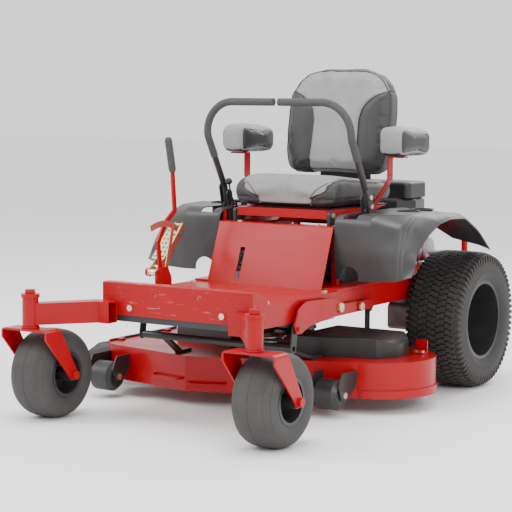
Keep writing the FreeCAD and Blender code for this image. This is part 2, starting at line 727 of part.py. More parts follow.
def makeBlade(name):
    x, y = spindles()[name]
    z, half, wide = bladeHeight, bladeRadius - 2, bladeWidth / 2
    bar = block((-half, half), (-wide, wide), (z, z + bladeThickness))
    keep = rod((0, 0, z - 2), (0, 0, z + 40), bladeRadius)
    lifts = []
    for turn in (0, 180):
        side = [(wide - 6, z + 6), (wide, z + 6), (wide, z + 26), (wide - 3, z + 26)]
        wing = prism(side, "x", (half - 95, half - 12))
        wing.rotate(Vector(0, 0, 0), Vector(0, 0, 1), turn)
        lifts.append(wing)
    blade = fuse([bar] + lifts).common(keep)
    blade.rotate(Vector(0, 0, 0), Vector(0, 0, 1), bladeTurn[name])
    blade.translate(Vector(x, y, 0))
    return blade


def makeBladeBolt(name):
    x, y = spindles()[name]
    return hexagon((x, y, bladeHeight - 12), (x, y, bladeHeight), 28)


def makeDeckBelt():
    centres = [(x, y) for x, y in spindles().values()]
    core = Part.Wire(loop(centres, "z", pulleyHeight + 0.5))
    outer = wirePrism(core.makeOffset2D(pulleyRadius + 6), 11)
    return outer.cut(wirePrism(core.makeOffset2D(pulleyRadius), 11))


def beltCoverPlan(grow=0.0):
    g = grow
    return [(140 - g, -438 + g), (140 - g, -792 - g), (461 + g, -703 - g), (506 + g, -620), (506 + g, -520),
            (440 + g, -438 + g)]


def makeBeltCover(side):
    """A pressed cover over one outer pulley, open below, with a sloping outer end."""
    wall = 3.0
    outer = prism(beltCoverPlan(), "z", (deckTop, coverTop))
    slope = prism([(462, coverTop + 1), (520, coverTop + 1), (520, coverTop - 34)], "y", (-800, -400))
    inner = prism(beltCoverPlan(-wall), "z", (deckTop - 1, coverTop - wall))
    low = coverTop + 1 - wall
    lowSlope = prism([(459, low), (520, low), (520, coverTop - 38)], "y", (-800, -400))
    cover = outer.cut(slope).cut(inner.cut(lowSlope))
    gate = block((130, 150), (-782, -660), (deckTop - 1, coverTop - 10))
    rear = block((130, 150), (-560, -470), (deckTop - 1, coverTop - 10))
    cover = cover.cut(gate).cut(rear)
    cover.translate(Vector(spindleCentreX, 0, 0))
    if side < 0:
        cover.translate(Vector(-spindleCentreX, 0, 0))
        cover = mirror(cover)
        cover.translate(Vector(spindleCentreX, 0, 0))
    return cover


def makeRoller(name):
    x, y = rollerPlaces[name]
    h = rollerLength / 2
    profile = [(-h, 8 + runningGap), (-h, rollerRadius - 14), (-h + 16, rollerRadius), (h - 16, rollerRadius),
               (h, rollerRadius - 14), (h, 8 + runningGap)]
    return turned(profile, (x, y, rollerHeight))


def makeRollerBrackets():
    """A U of flat bar from the front wall round each roller, above its axle."""
    shapes = []
    for x, y in rollerPlaces.values():
        for side in (-1, 1):
            x0 = x + side * (rollerLength / 2 + 6)
            back = frontWallY(x0) + 40
            cheek = [(back, 168), (y - 14, 168), (y - 40, 120), (y - 16, rollerHeight - 18),
                     (y + 16, rollerHeight - 18), (back - 40, 110), (back, 110)]
            shapes.append(prism(cheek, "x", (x0 - 2.5, x0 + 2.5)).cut(deckBody()))
    return group(shapes)


def frontWallY(x):
    """Where the deck's front wall stands at x."""
    cx, cy = spindles()["left"]
    r = bladeRadius + shellGap
    leftEnd = (cx + 40, cy - math.sqrt(r * r - 40 * 40))
    if x >= deckApex[0]:
        share = (x - deckApex[0]) / (leftEnd[0] - deckApex[0])
        return deckApex[1] + (leftEnd[1] - deckApex[1]) * share
    share = (x - deckApex[0]) / (deckSide + 45 - deckApex[0])
    return deckApex[1] + (-966 - deckApex[1]) * share


def makeRollerAxles():
    shapes = []
    for x, y in rollerPlaces.values():
        h = rollerLength / 2 + 3.5
        pin = rod((x - h, y, rollerHeight), (x + h, y, rollerHeight), 8)
        heads = [hexagon((x + s * (h + 5), y, rollerHeight), (x + s * (h + 13), y, rollerHeight), 22)
                 for s in (-1, 1)]
        shapes.append(group([pin] + heads))
    return group(shapes)


def makeTieLoops():
    """Bent rods on the deck's front wall, one each side of the apex."""
    loops = []
    for x0, x1, z in ((-345, -200, 112), (-165, -35, 100)):
        out = 26
        a, b = frontWallY(x0), frontWallY(x1)
        points = [(x0, a + 12, z), (x0, a - out, z - 6), (x1, b - out, z - 6), (x1, b + 12, z)]
        loops.append(bentRod(points, 5, 14).cut(deckBody()))
    return group(loops)


def makeCarrier():
    """The cross tube ahead of the deck and its two struts back to the deck top."""
    z, y = 278.0, hangerY - 10
    tube = pipe((-341, y, z), (341, y, z), 14, 10)
    return tube


def makeCarrierStruts():
    shapes = []
    for x in (-250.0, 250.0):
        y = frontWallY(x) + 70
        path = [(hangerY + 4, 278), (y - 30, deckTop + 6), (y + 30, deckTop + 6)]
        bar = flatBar(path, 12, "x", (x - 15, x + 15))
        shapes.append(bar.cut(rod((x - 20, hangerY - 10, 278), (x + 20, hangerY - 10, 278), 14)))
    return group(shapes)


def makeHangers():
    """Links on the deck whose upper eyes pass the pins of the lift arms with room to spare."""
    front = flatBar([(hangerY - 10, 278), (hangerY, hangerZ)], 36, "x", (335, 341))
    front = front.cut(rod((330, hangerY, hangerZ), (345, hangerY, hangerZ), 12))
    front = front.cut(rod((330, hangerY - 10, 278), (345, hangerY - 10, 278), 14))
    rear = flatBar([(rearHangerY, deckTop + 10), (rearHangerY, hangerZ)], 34, "x", (248, 254))
    rear = rear.cut(block((200, 300), (-500, -300), (0, deckTop)))
    eye = flatBar([(rearHangerY - 5, hangerZ), (rearHangerY + 5, hangerZ)], 20, "x", (240, 260))
    rear = rear.cut(eye)
    return bothSides(group([front, rear]))


def makeDeckRearBrackets():
    shapes = []
    for side in (-1, 1):
        plate = block((500, 550), (-460, -454), (deckTop, deckTop + 52))
        foot = block((500, 550), (-500, -460), (deckTop, deckTop + 6))
        shape = fuse([plate, foot])
        shapes.append(shape if side > 0 else mirror(shape))
    return group(shapes)


def makeDeckBolts():
    places = [(512, -480), (538, -480), (-512, -480), (-538, -480)]
    shapes = [bolt((x, y, deckTop + 6), (0, 0, 1), 5, 0) for x, y in places]
    for x, y in spindles().values():
        for i in range(6):
            a = math.radians(60 * i + 30)
            shapes.append(bolt((x + 50 * math.cos(a), y + 50 * math.sin(a), deckTop + 8), (0, 0, 1), 4, 0))
    return group(shapes)


def chuteRod(radius, ends=(-905, -455)):
    """A rod along the discharge deflector's hinge line."""
    return rod((deckSide - 8, ends[0], deckTop + 2), (deckSide - 8, ends[1], deckTop + 2), radius)


def makeChute():
    """The hinged discharge deflector, a curved black apron."""
    x0, z0, t = deckSide - 9, deckTop - 4, 4
    side = [(x0, z0), (x0 - 60, z0 - 8), (x0 - chuteLength + 30, z0 - 50), (x0 - chuteLength, z0 - chuteDrop),
            (x0 - chuteLength + t, z0 - chuteDrop), (x0 - chuteLength + 34, z0 - 54), (x0 - 60, z0 - 8 - t),
            (x0, z0 - t)]
    apron = prism(side, "y", (-905, -455))
    web = block((x0 - 2, x0 + 4), (-905, -455), (z0 - t, z0 + 2))
    chute = fuse([apron, web, chuteRod(7)])
    for y in (-860, -540):
        chute = chute.cut(block((x0 - 8, x0 + 12), (y - 16, y + 16), (z0 - 6, z0 + 20)))
    return chute.cut(chuteRod(4 + runningGap, (-910, -450)))


def makeChuteHinge():
    """Two ears on the deck and the rod through them that the deflector turns on."""
    ears = [block((deckSide - 13, deckSide + 24), (y - 12, y + 12), (deckTop, deckTop + 8))
            for y in (-860, -540)]
    return fuse([chuteRod(4, (-915, -445))] + ears)


# deck lift

def makeLiftArms():
    """The long lever plates, each with its hanger pin in front, on one shaft across the rails."""
    side = [(-1112, 332), (-1084, 330), (-1020, 352), (-850, 366), (-545, 368), (-528, 386), (-545, 404),
            (-760, 408), (-860, 438), (-1040, 445), (-1098, 420), (-1124, 372)]
    arm = prism(side, "x", (345, 353)).fuse(rod((334, hangerY, hangerZ), (361, hangerY, hangerZ), 8))
    end = railOuter + 28
    shaft = rod((-end, frontPivotY, frontPivotZ), (end, frontPivotY, frontPivotZ), 10 - runningGap)
    cap = hexagon((end, frontPivotY, frontPivotZ), (end + 10, frontPivotY, frontPivotZ), 30)
    head = bolt((353, -804, 397), (1, 0, 0), 9, 0)
    return group([fuse([shaft, arm, mirror(arm)]), bothSides(cap), bothSides(head)])


def makeLiftCollars():
    """Collars outside the rails that keep the lift arms in line."""
    return bothSides(pipe((railOuter, frontPivotY, frontPivotZ), (344.5, frontPivotY, frontPivotZ), 18, 10))


def makeRearShaft():
    shaft = rod((-railOuter + 8, rearPivotY, rearPivotZ), (railOuter - 8, rearPivotY, rearPivotZ),
                10 - runningGap)
    arms = []
    for x in (-265, 259):
        arms.append(flatBar([(rearPivotY, rearPivotZ), (rearHangerY, hangerZ)], 34, "x", (x, x + 6)))
    pins = [rod((s * 246, rearHangerY, hangerZ), (s * 260, rearHangerY, hangerZ), 8) for s in (-1, 1)]
    return fuse([shaft] + arms + pins)


def makePedal():
    """The lift pedal: a perforated tread on two cheeks that turn on the lift pivot."""
    cheeks = []
    for x in (-398, -364):
        cheek = flatBar([(pedalPivotY, pedalPivotZ), (-940, 536), (-812, 668)], 34, "x", (x, x + 4))
        cheeks.append(cheek)
    tie = rod((-396, -960, 520), (-362, -960, 520), 8)
    hub = rod((-398, pedalPivotY, pedalPivotZ), (-352, pedalPivotY, pedalPivotZ), 14)
    bore = rod((-420, pedalPivotY, pedalPivotZ), (-340, pedalPivotY, pedalPivotZ), 9 + runningGap)
    return fuse(cheeks + [tie, hub]).cut(bore)



def makePedalTread():
    run = Vector(0, 128, 132)
    length = run.Length
    low = Vector(0, -940, 536) + Vector(0, -run.z, run.y) / length * 17
    plate = Part.makeBox(60, length, 4)
    for i in range(3):
        for j in range(8):
            hole = Part.makeCylinder(5, 8, Vector(12 + i * 18, 14 + j * (length - 28) / 7, -2))
            plate = plate.cut(hole)
    angle = math.degrees(math.atan2(run.z, run.y))
    plate.rotate(Vector(0, 0, 0), Vector(1, 0, 0), angle)
    plate.translate(Vector(-413, low.y, low.z))
    return plate


def makeLiftLever():
    points = [(pedalPivotY, pedalPivotZ), (-1000, 620), (-958, 690), (-890, 738), (-905, 897), (-930, 1005)]
    bar = flatBar(points, 20, "x", (-352, -344))
    return bar.cut(rod((-360, pedalPivotY, pedalPivotZ), (-340, pedalPivotY, pedalPivotZ), 9 + runningGap))


def makeLiftGrip():
    sleeve = flatBar([(-906, 902), (-932, 1012)], 30, "x", (-358, -338))
    sleeve = roundEdges(sleeve, 6, lambda e: not isAlong(e, "x"))
    return sleeve.cut(makeLiftLever())


def makeLiftBracket():
    """The bracket on the right rail, its pivot pin and the height stop quadrant."""
    side = [(-1037, railTop - 10), (-1037, 512), (-1000, 524), (-960, 524), (-935, 480), (-935, railTop - 10)]
    plate = prism(side, "x", (-railOuter - 8, -railOuter))
    pin = rod((-railOuter - 8, pedalPivotY, pedalPivotZ), (-404, pedalPivotY, pedalPivotZ), 9)
    head = hexagon((-412, pedalPivotY, pedalPivotZ), (-402, pedalPivotY, pedalPivotZ), 28)
    return fuse([plate, pin, head])


def makeQuadrant():
    """The toothed stop plate beside the lift lever, on a foot from the rail bracket."""
    arc = []
    for i in range(9):
        a = math.radians(58 + i * 7)
        arc.append((pedalPivotY + 205 * math.cos(a), pedalPivotZ + 205 * math.sin(a)))
    for i in range(8, -1, -1):
        a = math.radians(58 + i * 7)
        arc.append((pedalPivotY + 180 * math.cos(a), pedalPivotZ + 180 * math.sin(a)))
    plate = prism(arc, "x", (-341, -337))
    strut = flatBar([(-960, 505), (-918, 668)], 20, "x", (-341, -337))
    return fuse([plate, strut])


# power train

def makeEnginePlate():
    plate = block((-railOuter, railOuter), (-60, railRear), (railTop, enginePlateTop))
    return plate.cut(rod((0, engineY, railTop - 1), (0, engineY, enginePlateTop + 1), 40))


def makeEngineBlock():
    """Crankcase and two finned cylinders at right angles to each other, with a bore for the crankshaft."""
    shapes = [rod((0, engineY, enginePlateTop), (0, engineY, 560), 120),
              rod((0, engineY, 500), (0, engineY, 560), 125)]
    for side in (-1, 1):
        dx, dy = side * math.sqrt(0.5), math.sqrt(0.5)
        for r in range(122, 182, 12):
            far = r + 6
            shapes.append(rod((dx * r, engineY + dy * r, 520), (dx * far, engineY + dy * far, 520), 50))
        shapes.append(rod((dx * 100, engineY + dy * 100, 520), (dx * 186, engineY + dy * 186, 520), 38))
    return fuse(shapes).cut(rod((0, engineY, enginePlateTop - 1), (0, engineY, 561), 18))


def makeBlower():
    outline = [(-150, 30), (150, 30), (200, 110), (170, 250), (90, 300), (-90, 300), (-170, 250), (-200, 110)]
    housing = prism(outline, "z", (600, 760))
    housing = roundEdges(housing, 22, lambda e: e.CenterOfMass.z > 759)
    inside = [(x * 0.96, engineY + (y - engineY) * 0.96) for x, y in outline]
    return housing.cut(prism(inside, "z", (599, 735)))


def makeBlowerLegs():
    legs = []
    for x, y in ((-70, 90), (70, 90), (-70, 210), (70, 210)):
        legs.append(rod((x, y, 560), (x, y, 735), 8))
    return group(legs)


def makeAirCleaner():
    box = block((-190, 190), (60, 240), (760, 828))
    box = roundEdges(box, 30, lambda e: isAlong(e, "z"))
    return roundEdges(box, 16, lambda e: e.CenterOfMass.z > 827)


def makeMuffler():
    y, z = 372, 520
    body = rod((-140, y, z), (140, y, z), 55)
    body = body.makeFillet(12, [e for e in body.Edges if isinstance(e.Curve, Part.Circle)])
    tail = bentRod([(120, y, 505), (190, y, 505), (222, y + 36, 505)], 13, 20)
    feet = [block((x - 4, x + 4), (y - 20, y + 20), (enginePlateTop, 480)) for x in (-90, 90)]
    return fuse([body, tail] + feet)


def makeEngineShaft():
    shaft = rod((0, engineY, 300), (0, engineY, 560), 17.9)
    clutch = rod((0, engineY, 300), (0, engineY, 350), 66)
    low = rod((0, engineY, 378), (0, engineY, 382), tractionPulleyRadius + 8)
    groove = rod((0, engineY, 382), (0, engineY, 394), tractionPulleyRadius - 0.4)
    high = rod((0, engineY, 394), (0, engineY, 398), tractionPulleyRadius + 8)
    return fuse([shaft, clutch, low, groove, high])


def makeTractionBelt():
    centres = [(0, engineY), (-pumpX, pumpY), (pumpX, pumpY)]
    core = Part.Wire(loop(centres, "z", 382.5))
    outer = wirePrism(core.makeOffset2D(tractionPulleyRadius + 6), 11)
    return outer.cut(wirePrism(core.makeOffset2D(tractionPulleyRadius), 11))


def makeTransaxle():
    z = driveTyreRadius
    gear = block((170, 330), (-75, 80), (z - 62, z + 50))
    gear = roundEdges(gear, 22, lambda e: isAlong(e, "x"))
    trumpet = rod((330, 0, z), (driveTrack / 2 - 84, 0, z), 34)
    pump = rod((pumpX, pumpY, z + 45), (pumpX, pumpY, z + 74), 48)
    case = fuse([gear, trumpet, pump])
    bore = rod((150, 0, z), (driveTrack / 2 - 60, 0, z), driveAxleRadius + runningGap)
    case = case.cut(bore)
    top = rod((pumpX, pumpY, z + 40), (pumpX, pumpY, z + 76), 10 + runningGap)
    return case.cut(top)


def makeTransaxleStraps():
    """Hangers that hold each transaxle up to its rail."""
    straps = []
    for y in (-50, 44):
        straps.append(block((300, 326), (y, y + 10), (driveTyreRadius + 50, railBottom)))
    return bothSides(group(straps))


def makePump():
    z = driveTyreRadius
    shaft = rod((pumpX, pumpY, z + 45), (pumpX, pumpY, 398), 10)
    low = rod((pumpX, pumpY, 378), (pumpX, pumpY, 382), tractionPulleyRadius + 8)
    groove = rod((pumpX, pumpY, 382), (pumpX, pumpY, 394), tractionPulleyRadius - 0.4)
    high = rod((pumpX, pumpY, 394), (pumpX, pumpY, 398), tractionPulleyRadius + 8)
    return fuse([shaft, low, groove, high])


def makeFan():
    hub = pipe((pumpX, pumpY, 356), (pumpX, pumpY, 372), 18, 10)
    blades = []
    for i in range(8):
        vane = block((12, 56), (-2, 2), (357, 371))
        vane.rotate(Vector(0, 0, 0), Vector(0, 0, 1), 45 * i)
        vane.translate(Vector(pumpX, pumpY, 0))
        blades.append(vane.cut(rod((pumpX, pumpY, 350), (pumpX, pumpY, 380), 16)))
    return fuse([hub] + blades)


def makeTank():
    tank = block((-225, 225), (-560, -330), (shelfTop, 640))
    tank = roundEdges(tank, 20, lambda e: isAlong(e, "z"))
    neck = rod((-120, -440, 640), (-120, -440, 656), 30)
    return tank.fuse(neck).removeSplitter()


def makeTankCap():
    return rod((-120, -440, 656), (-120, -440, 676), 34)


def makeTankShelf():
    return block((-railOuter, railOuter), (platformRear + 9, -60), (railTop, shelfTop))


def makeBattery():
    case = block((-95, 95), (-300, -170), (shelfTop, 620))
    posts = [rod((x, -200, 620), (x, -200, 634), 8) for x in (-70, 70)]
    return fuse([case] + posts)


def makeRearFrame():
    plate = block((-railOuter, railOuter), (railRear, railRear + 8), (300, railTop))
    shelf = block((-railOuter, railOuter), (railRear, 425), (railTop, enginePlateTop))
    hitch = block((-60, 60), (railRear + 8, 425), (300, 300 + hitchThickness))
    webs = [block((s - 4, s + 4), (railRear + 8, 410), (308, 340)) for s in (-50, 50)]
    frame = fuse([plate, shelf, hitch] + webs)
    return frame.cut(rod((0, 395, 290), (0, 395, 320), hitchHoleRadius))


def makeEngineGuard():
    z0, z1, y = enginePlateTop, 640, 408
    points = [(-290, y, z0), (-290, y, z1), (290, y, z1), (290, y, z0)]
    return bentRod(points, 14, 60)


# controls

def makeThrottle():
    """The throttle stalk and the pin it turns on."""
    stalk = bentRod([(throttleX, throttleY, throttleZ), (throttleX, throttleY - 30, throttleZ + 48),
                     (throttleX, throttleY - 40, throttleZ + 82)], 3.5, 40)
    pin = rod((throttleX - 11, throttleY, throttleZ), (throttleX + 11, throttleY, throttleZ), throttlePin)
    return stalk.fuse(pin)


def makeThrottleKnob():
    return Part.makeSphere(14, Vector(throttleX, throttleY - 42, throttleZ + 94)).cut(makeThrottle())


def makeControlBase():
    """The plate on the right fender with the throttle's ears and the ignition switch."""
    low, high = 739.4, 743.4
    plate = block((-299, -265), (-600, -470), (low, high))
    ears = [block((x, x + 4), (throttleY - 6, throttleY + 6), (high, throttleZ + 7))
            for x in (throttleX - 11, throttleX + 7)]
    switch = rod((-282, -490, high), (-282, -490, high + 13), 13)
    bore = rod((-310, throttleY, throttleZ), (-250, throttleY, throttleZ), throttlePin + runningGap)
    return fuse([plate, switch] + ears).cut(bore)


def makeFrameBolts():
    shapes = [bolt((s * beamBoltSpacing / 2, beamFront, beamBoltHeight), (0, -1, 0), 6.0, sheet)
              for s in (-1, 1)]
    for s in (-1, 1):
        shapes.append(bolt((s * 300, -1240, railTop + platformThickness), (0, 0, 1), 6, 0))
        shapes.append(bolt((s * 300, -830, railTop + platformThickness), (0, 0, 1), 6, 0))
        shapes.append(bolt((s * 180, seatHingeY - 38, towerTop), (0, 0, 1), 5, 0))
    return group(shapes)


# the nodes

def addPair(name, shape):
    nodes["left_" + name] = shape
    nodes["right_" + name] = mirror(shape)


def buildChassis():
    nodes["rails"] = bothSides(makeRail())
    nodes["front_beam"] = group([makeFrontBeam(), makeBeamGussets(), makeCrossTube()])
    nodes["caster_arms"] = group([bothSides(makeCasterArm()), bothSides(makeCasterTube()),
                                  makeCasterBushes()])
    nodes["platform"] = group([makePlatform(), makeLiftBracket(), makeQuadrant()])
    nodes["console_panel"] = makeConsole()
    nodes["tower_posts"] = group([makeTowerPosts(), makeFenderStays(), makeSeatHingeBrackets(),
                                  makeSeatBumpers()])
    addPair("fender", makeFender())
    nodes["fender_trim"] = group([makeCups(), makeControlBase()])
    nodes["frame_bolts"] = group([makeFrameBolts(), makeSeatHingeBolts(), makeLiftCollars()])
    nodes["lever_pivots"] = group([makeLeverPivots(), makeDampers()])
    nodes["rear_frame"] = group([makeEnginePlate(), makeTankShelf(), makeRearFrame(), makeEngineGuard()])


def buildPower():
    nodes["engine_block"] = group([makeEngineBlock(), makeMuffler()])
    nodes["blower_housing"] = group([makeBlower(), makeBlowerLegs(), makeAirCleaner()])
    nodes["transaxles"] = group([bothSides(makeTransaxle()), makeTransaxleStraps()])
    nodes["traction_belt"] = makeTractionBelt()
    nodes["fuel_tank"] = group([makeTank(), makeTankCap(), makeBattery()])
    nodes["engine_shaft"] = makeEngineShaft()
    addPair("pump", group([makePump(), makeFan()]))


def buildSeat():
    nodes["seat_pan"] = group([makeSeatPan(), makeSeatTracks()])
    nodes["seat_base"] = makeSeatBase()
    nodes["arm_bars"] = makeArmBars()
    nodes["seat_cushion"] = makeCushion()
    nodes["seat_back"] = makeBackrest()
    nodes["arm_pads"] = bothSides(makeArmPad())


def buildControls():
    addPair("lever_base", makeLeverBase())
    addPair("lever_bar", makeLeverBar())
    addPair("lever_grip", makeGrip())
    nodes["throttle_lever"] = group([makeThrottle(), makeThrottleKnob()])
    nodes["lift_pedal"] = group([makePedal(), makePedalTread()])
    nodes["lift_lever"] = makeLiftLever()
    nodes["lift_grip"] = makeLiftGrip()


def buildWheels():
    addPair("drive_tyre", makeDriveTyre())
    addPair("drive_rim", group([makeDriveRim(), makeDriveHub(), makeLugNuts()]))
    addPair("caster_tyre", makeCasterTyre())
    addPair("caster_rim", group([makeCasterRim(), makeCasterBearings()]))
    addPair("caster_fork", group([makeFork(), makeForkStem(), makeForkWashers(), makeCasterAxle()]))


def buildDeck():
    nodes["deck_shell"] = group([makeDeckShell(), makeDeckBand(), makeTieLoops(), makeDeckRearBrackets(),
                                 makeChuteHinge()])
    nodes["spindle_housings"] = group([makeSpindleHousings(), makeSpindleBearings()])
    nodes["deck_belt"] = makeDeckBelt()
    nodes["belt_covers"] = group([makeBeltCover(1), makeBeltCover(-1)])
    nodes["deck_carrier"] = group([makeCarrier(), makeCarrierStruts(), makeHangers(), makeRollerBrackets(),
                                   makeRollerAxles()])
    nodes["deck_bolts"] = makeDeckBolts()
    for name in spindles():
        nodes[name + "_blade"] = group([makeBlade(name), makeSpindle(name), makeBladeBolt(name)])
    for name in rollerPlaces:
        nodes[name + "_roller"] = makeRoller(name)
    nodes["discharge_chute"] = makeChute()
    nodes["lift_arms"] = makeLiftArms()
    nodes["rear_lift_arms"] = makeRearShaft()


def exportAll():
    """Moves the origin to the middle of the footprint, to the nearest millimetre, and writes each node."""
    box = FreeCAD.BoundBox()
    for shape in nodes.values():
        box.add(shape.BoundBox)
    shift = Vector(-round(box.Center.x), -round(box.Center.y), 0)
    os.makedirs("parts", exist_ok=True)
    for name, shape in nodes.items():
        moved = shape.copy()
        moved.translate(shift)
        moved.exportStep(os.path.join("parts", name + ".step"))
    print("nodes", len(nodes), "shift", shift, "size", box.XLength, box.YLength, box.ZLength)


buildChassis()
buildPower()
buildSeat()
buildControls()
buildWheels()
buildDeck()
exportAll()
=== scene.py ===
import json
import math

import bmesh
import bpy
from mathutils import Matrix, Vector
from mathutils.bvhtree import BVHTree


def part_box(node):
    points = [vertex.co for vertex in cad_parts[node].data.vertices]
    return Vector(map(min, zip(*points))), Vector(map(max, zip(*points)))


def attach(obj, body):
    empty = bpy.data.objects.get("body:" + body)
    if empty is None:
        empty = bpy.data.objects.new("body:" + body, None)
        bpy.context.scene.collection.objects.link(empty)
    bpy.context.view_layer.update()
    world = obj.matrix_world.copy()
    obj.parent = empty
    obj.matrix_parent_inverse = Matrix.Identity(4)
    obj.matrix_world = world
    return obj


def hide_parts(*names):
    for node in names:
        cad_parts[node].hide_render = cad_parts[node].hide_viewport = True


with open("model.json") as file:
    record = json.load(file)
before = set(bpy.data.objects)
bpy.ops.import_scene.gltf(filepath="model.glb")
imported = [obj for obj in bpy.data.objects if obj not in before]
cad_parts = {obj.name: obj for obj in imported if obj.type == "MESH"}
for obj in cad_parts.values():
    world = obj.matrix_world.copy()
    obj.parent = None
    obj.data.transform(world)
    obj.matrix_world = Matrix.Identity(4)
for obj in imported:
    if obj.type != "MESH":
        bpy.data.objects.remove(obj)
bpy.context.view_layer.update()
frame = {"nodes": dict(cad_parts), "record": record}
nodes = frame["nodes"]
print("frame loaded:", len(nodes), "nodes")

# The machine's own centre plane and drive axle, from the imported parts.
panLow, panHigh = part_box("seat_pan")
tyreLow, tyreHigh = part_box("left_drive_tyre")
middle = Vector(((panLow.x + panHigh.x) / 2, (tyreLow.y + tyreHigh.y) / 2, 0))


def at(x, y, z):  # millimetres from the centre plane, the drive axle and the ground
    return middle + Vector((x, y, z)) / 1000


class Value:  # a shader socket that takes part in sums
    def __init__(self, paint, socket):
        self.paint, self.socket = paint, socket

    def maths(self, operation, *others):
        return self.paint.node("ShaderNodeMath", {"operation": operation}, dict(enumerate((self,) + others)))

    def __add__(self, other):
        return self.maths("ADD", other)

    def __mul__(self, other):
        return self.maths("MULTIPLY", other)

    def __sub__(self, other):
        return self.maths("SUBTRACT", other)

    def __rsub__(self, other):
        return self.paint.node("ShaderNodeMath", {"operation": "SUBTRACT"}, {0: other, 1: self})

    __radd__, __rmul__ = __add__, __mul__


class Paint:  # one material and its nodes
    def __init__(self, name):
        self.material = bpy.data.materials.new(name)
        self.material.use_nodes = True
        self.tree = self.material.node_tree
        self.shader = self.tree.nodes["Principled BSDF"]

    def node(self, kind, settings, inputs, output=0):
        made = self.tree.nodes.new(kind)
        for key, value in settings.items():
            if key == "stops":
                ramp = made.color_ramp.elements
                ramp[0].position, ramp[0].color = value[0][0], (*value[0][1], 1)
                ramp[1].position, ramp[1].color = value[-1][0], (*value[-1][1], 1)
                for position, colour in value[1:-1]:
                    ramp.new(position).color = (*colour, 1)
            else:
                setattr(made, key, value)
        for key, value in inputs.items():
            if isinstance(value, Value):
                self.tree.links.new(value.socket, made.inputs[key])
            else:
                made.inputs[key].default_value = value
        return Value(self, made.outputs[output])

    def place(self):
        return self.node("ShaderNodeTexCoord", {}, {}, "Object")

    def stretched(self, scale, turn):
        return self.node("ShaderNodeMapping", {}, {"Vector": self.place(), "Scale": scale, "Rotation": turn})

    def noise(self, scale, detail=3.0, roughness=0.5, vector=None):
        return self.node("ShaderNodeTexNoise", {}, {"Vector": vector or self.place(), "Scale": scale,
                                                     "Detail": detail, "Roughness": roughness})

    def cells(self, scale, feature="F1"):
        return self.node("ShaderNodeTexVoronoi", {"feature": feature},
                         {"Vector": self.place(), "Scale": scale})

    def spread(self, value, low, high, to=(0.0, 1.0)):
        return self.node("ShaderNodeMapRange", {}, {"Value": value, "From Min": low, "From Max": high,
                                                     "To Min": to[0], "To Max": to[1]})

    def mix(self, factor, first, second):
        def full(colour):
            return colour if isinstance(colour, Value) else (*colour, 1)
        inputs = {0: factor, 6: full(first), 7: full(second)}
        return self.node("ShaderNodeMix", {"data_type": "RGBA"}, inputs, 2)

    def bump(self, height, strength, depth):
        return self.node("ShaderNodeBump", {}, {"Height": height, "Strength": strength, "Distance": depth})

    def finish(self, **sockets):
        names = {"colour": "Base Color", "roughness": "Roughness", "metallic": "Metallic",
                 "coat": "Coat Weight", "coatRoughness": "Coat Roughness", "normal": "Normal",
                 "specular": "Specular IOR Level"}
        for key, value in sockets.items():
            socket = self.shader.inputs[names[key]]
            if isinstance(value, Value):
                self.tree.links.new(value.socket, socket)
            elif key == "colour":
                socket.default_value = (*value, 1)
            else:
                socket.default_value = value
        return self.material


def makeGlossPaint(name, colour, worn, roughness=0.3, scratches=0.0):
    paint = Paint(name)
    dust = paint.spread(paint.noise(7.0, 5.0, 0.62), 0.5, 0.78)
    fine = paint.noise(420.0, 2.0)
    drawn = paint.stretched((14, 95, 95), (0.3, 0.2, 0.5))
    streak = paint.spread(paint.noise(1.0, 6.0, 0.7, drawn), 0.6, 0.72)
    rubbed = streak * scratches
    body = paint.mix(dust * 0.25, colour, worn)
    body = paint.mix(rubbed, body, tuple(0.45 + 0.55 * c for c in worn))
    peel = paint.bump(paint.noise(160.0, 1.0) + fine * 0.15, 0.06, 0.001)
    return paint.finish(colour=body, roughness=roughness + dust * 0.14 + rubbed * 0.2, coat=0.12,
                        coatRoughness=0.14, specular=0.2, normal=peel)


def makeSatin(name, colour, dusty, roughness=0.42, grain=900.0, depth=0.12):
    paint = Paint(name)
    dust = paint.spread(paint.noise(9.0, 5.0, 0.6), 0.46, 0.78)
    pits = paint.cells(grain) + paint.noise(grain * 0.8, 2.0) * 0.6
    body = paint.mix(dust * 0.5, colour, dusty)
    return paint.finish(colour=body, roughness=roughness + dust * 0.16,
                        normal=paint.bump(pits, depth, 0.0006))


def makeZinc(name, colours, roughness=0.28):
    paint = Paint(name)
    cloud = paint.node("ShaderNodeValToRGB", {"stops": colours}, {0: paint.noise(38.0, 3.0)})
    brushed = paint.noise(260.0, 2.0)
    return paint.finish(colour=cloud, metallic=1.0, roughness=roughness + brushed * 0.12,
                        normal=paint.bump(brushed, 0.08, 0.0004))


def makeCast(name, colour, roughness=0.48, metallic=0.9):
    paint = Paint(name)
    sand = paint.noise(520.0, 3.0) + paint.cells(700.0) * 0.5
    stain = paint.spread(paint.noise(11.0, 4.0), 0.42, 0.75)
    body = paint.mix(stain * 0.6, colour, tuple(c * 0.45 for c in colour))
    return paint.finish(colour=body, metallic=metallic, roughness=roughness + stain * 0.2,
                        normal=paint.bump(sand, 0.25, 0.0006))


def makeTyreRubber(name, colour, dusty):
    paint = Paint(name)
    dust = paint.spread(paint.noise(16.0, 6.0, 0.68), 0.42, 0.78)
    fine = paint.noise(650.0, 3.0)
    body = paint.mix(dust * 0.55, colour, dusty)
    return paint.finish(colour=body, roughness=0.62 + dust * 0.22, specular=0.35,
                        normal=paint.bump(fine + paint.noise(90.0, 2.0) * 0.4, 0.16, 0.0006))


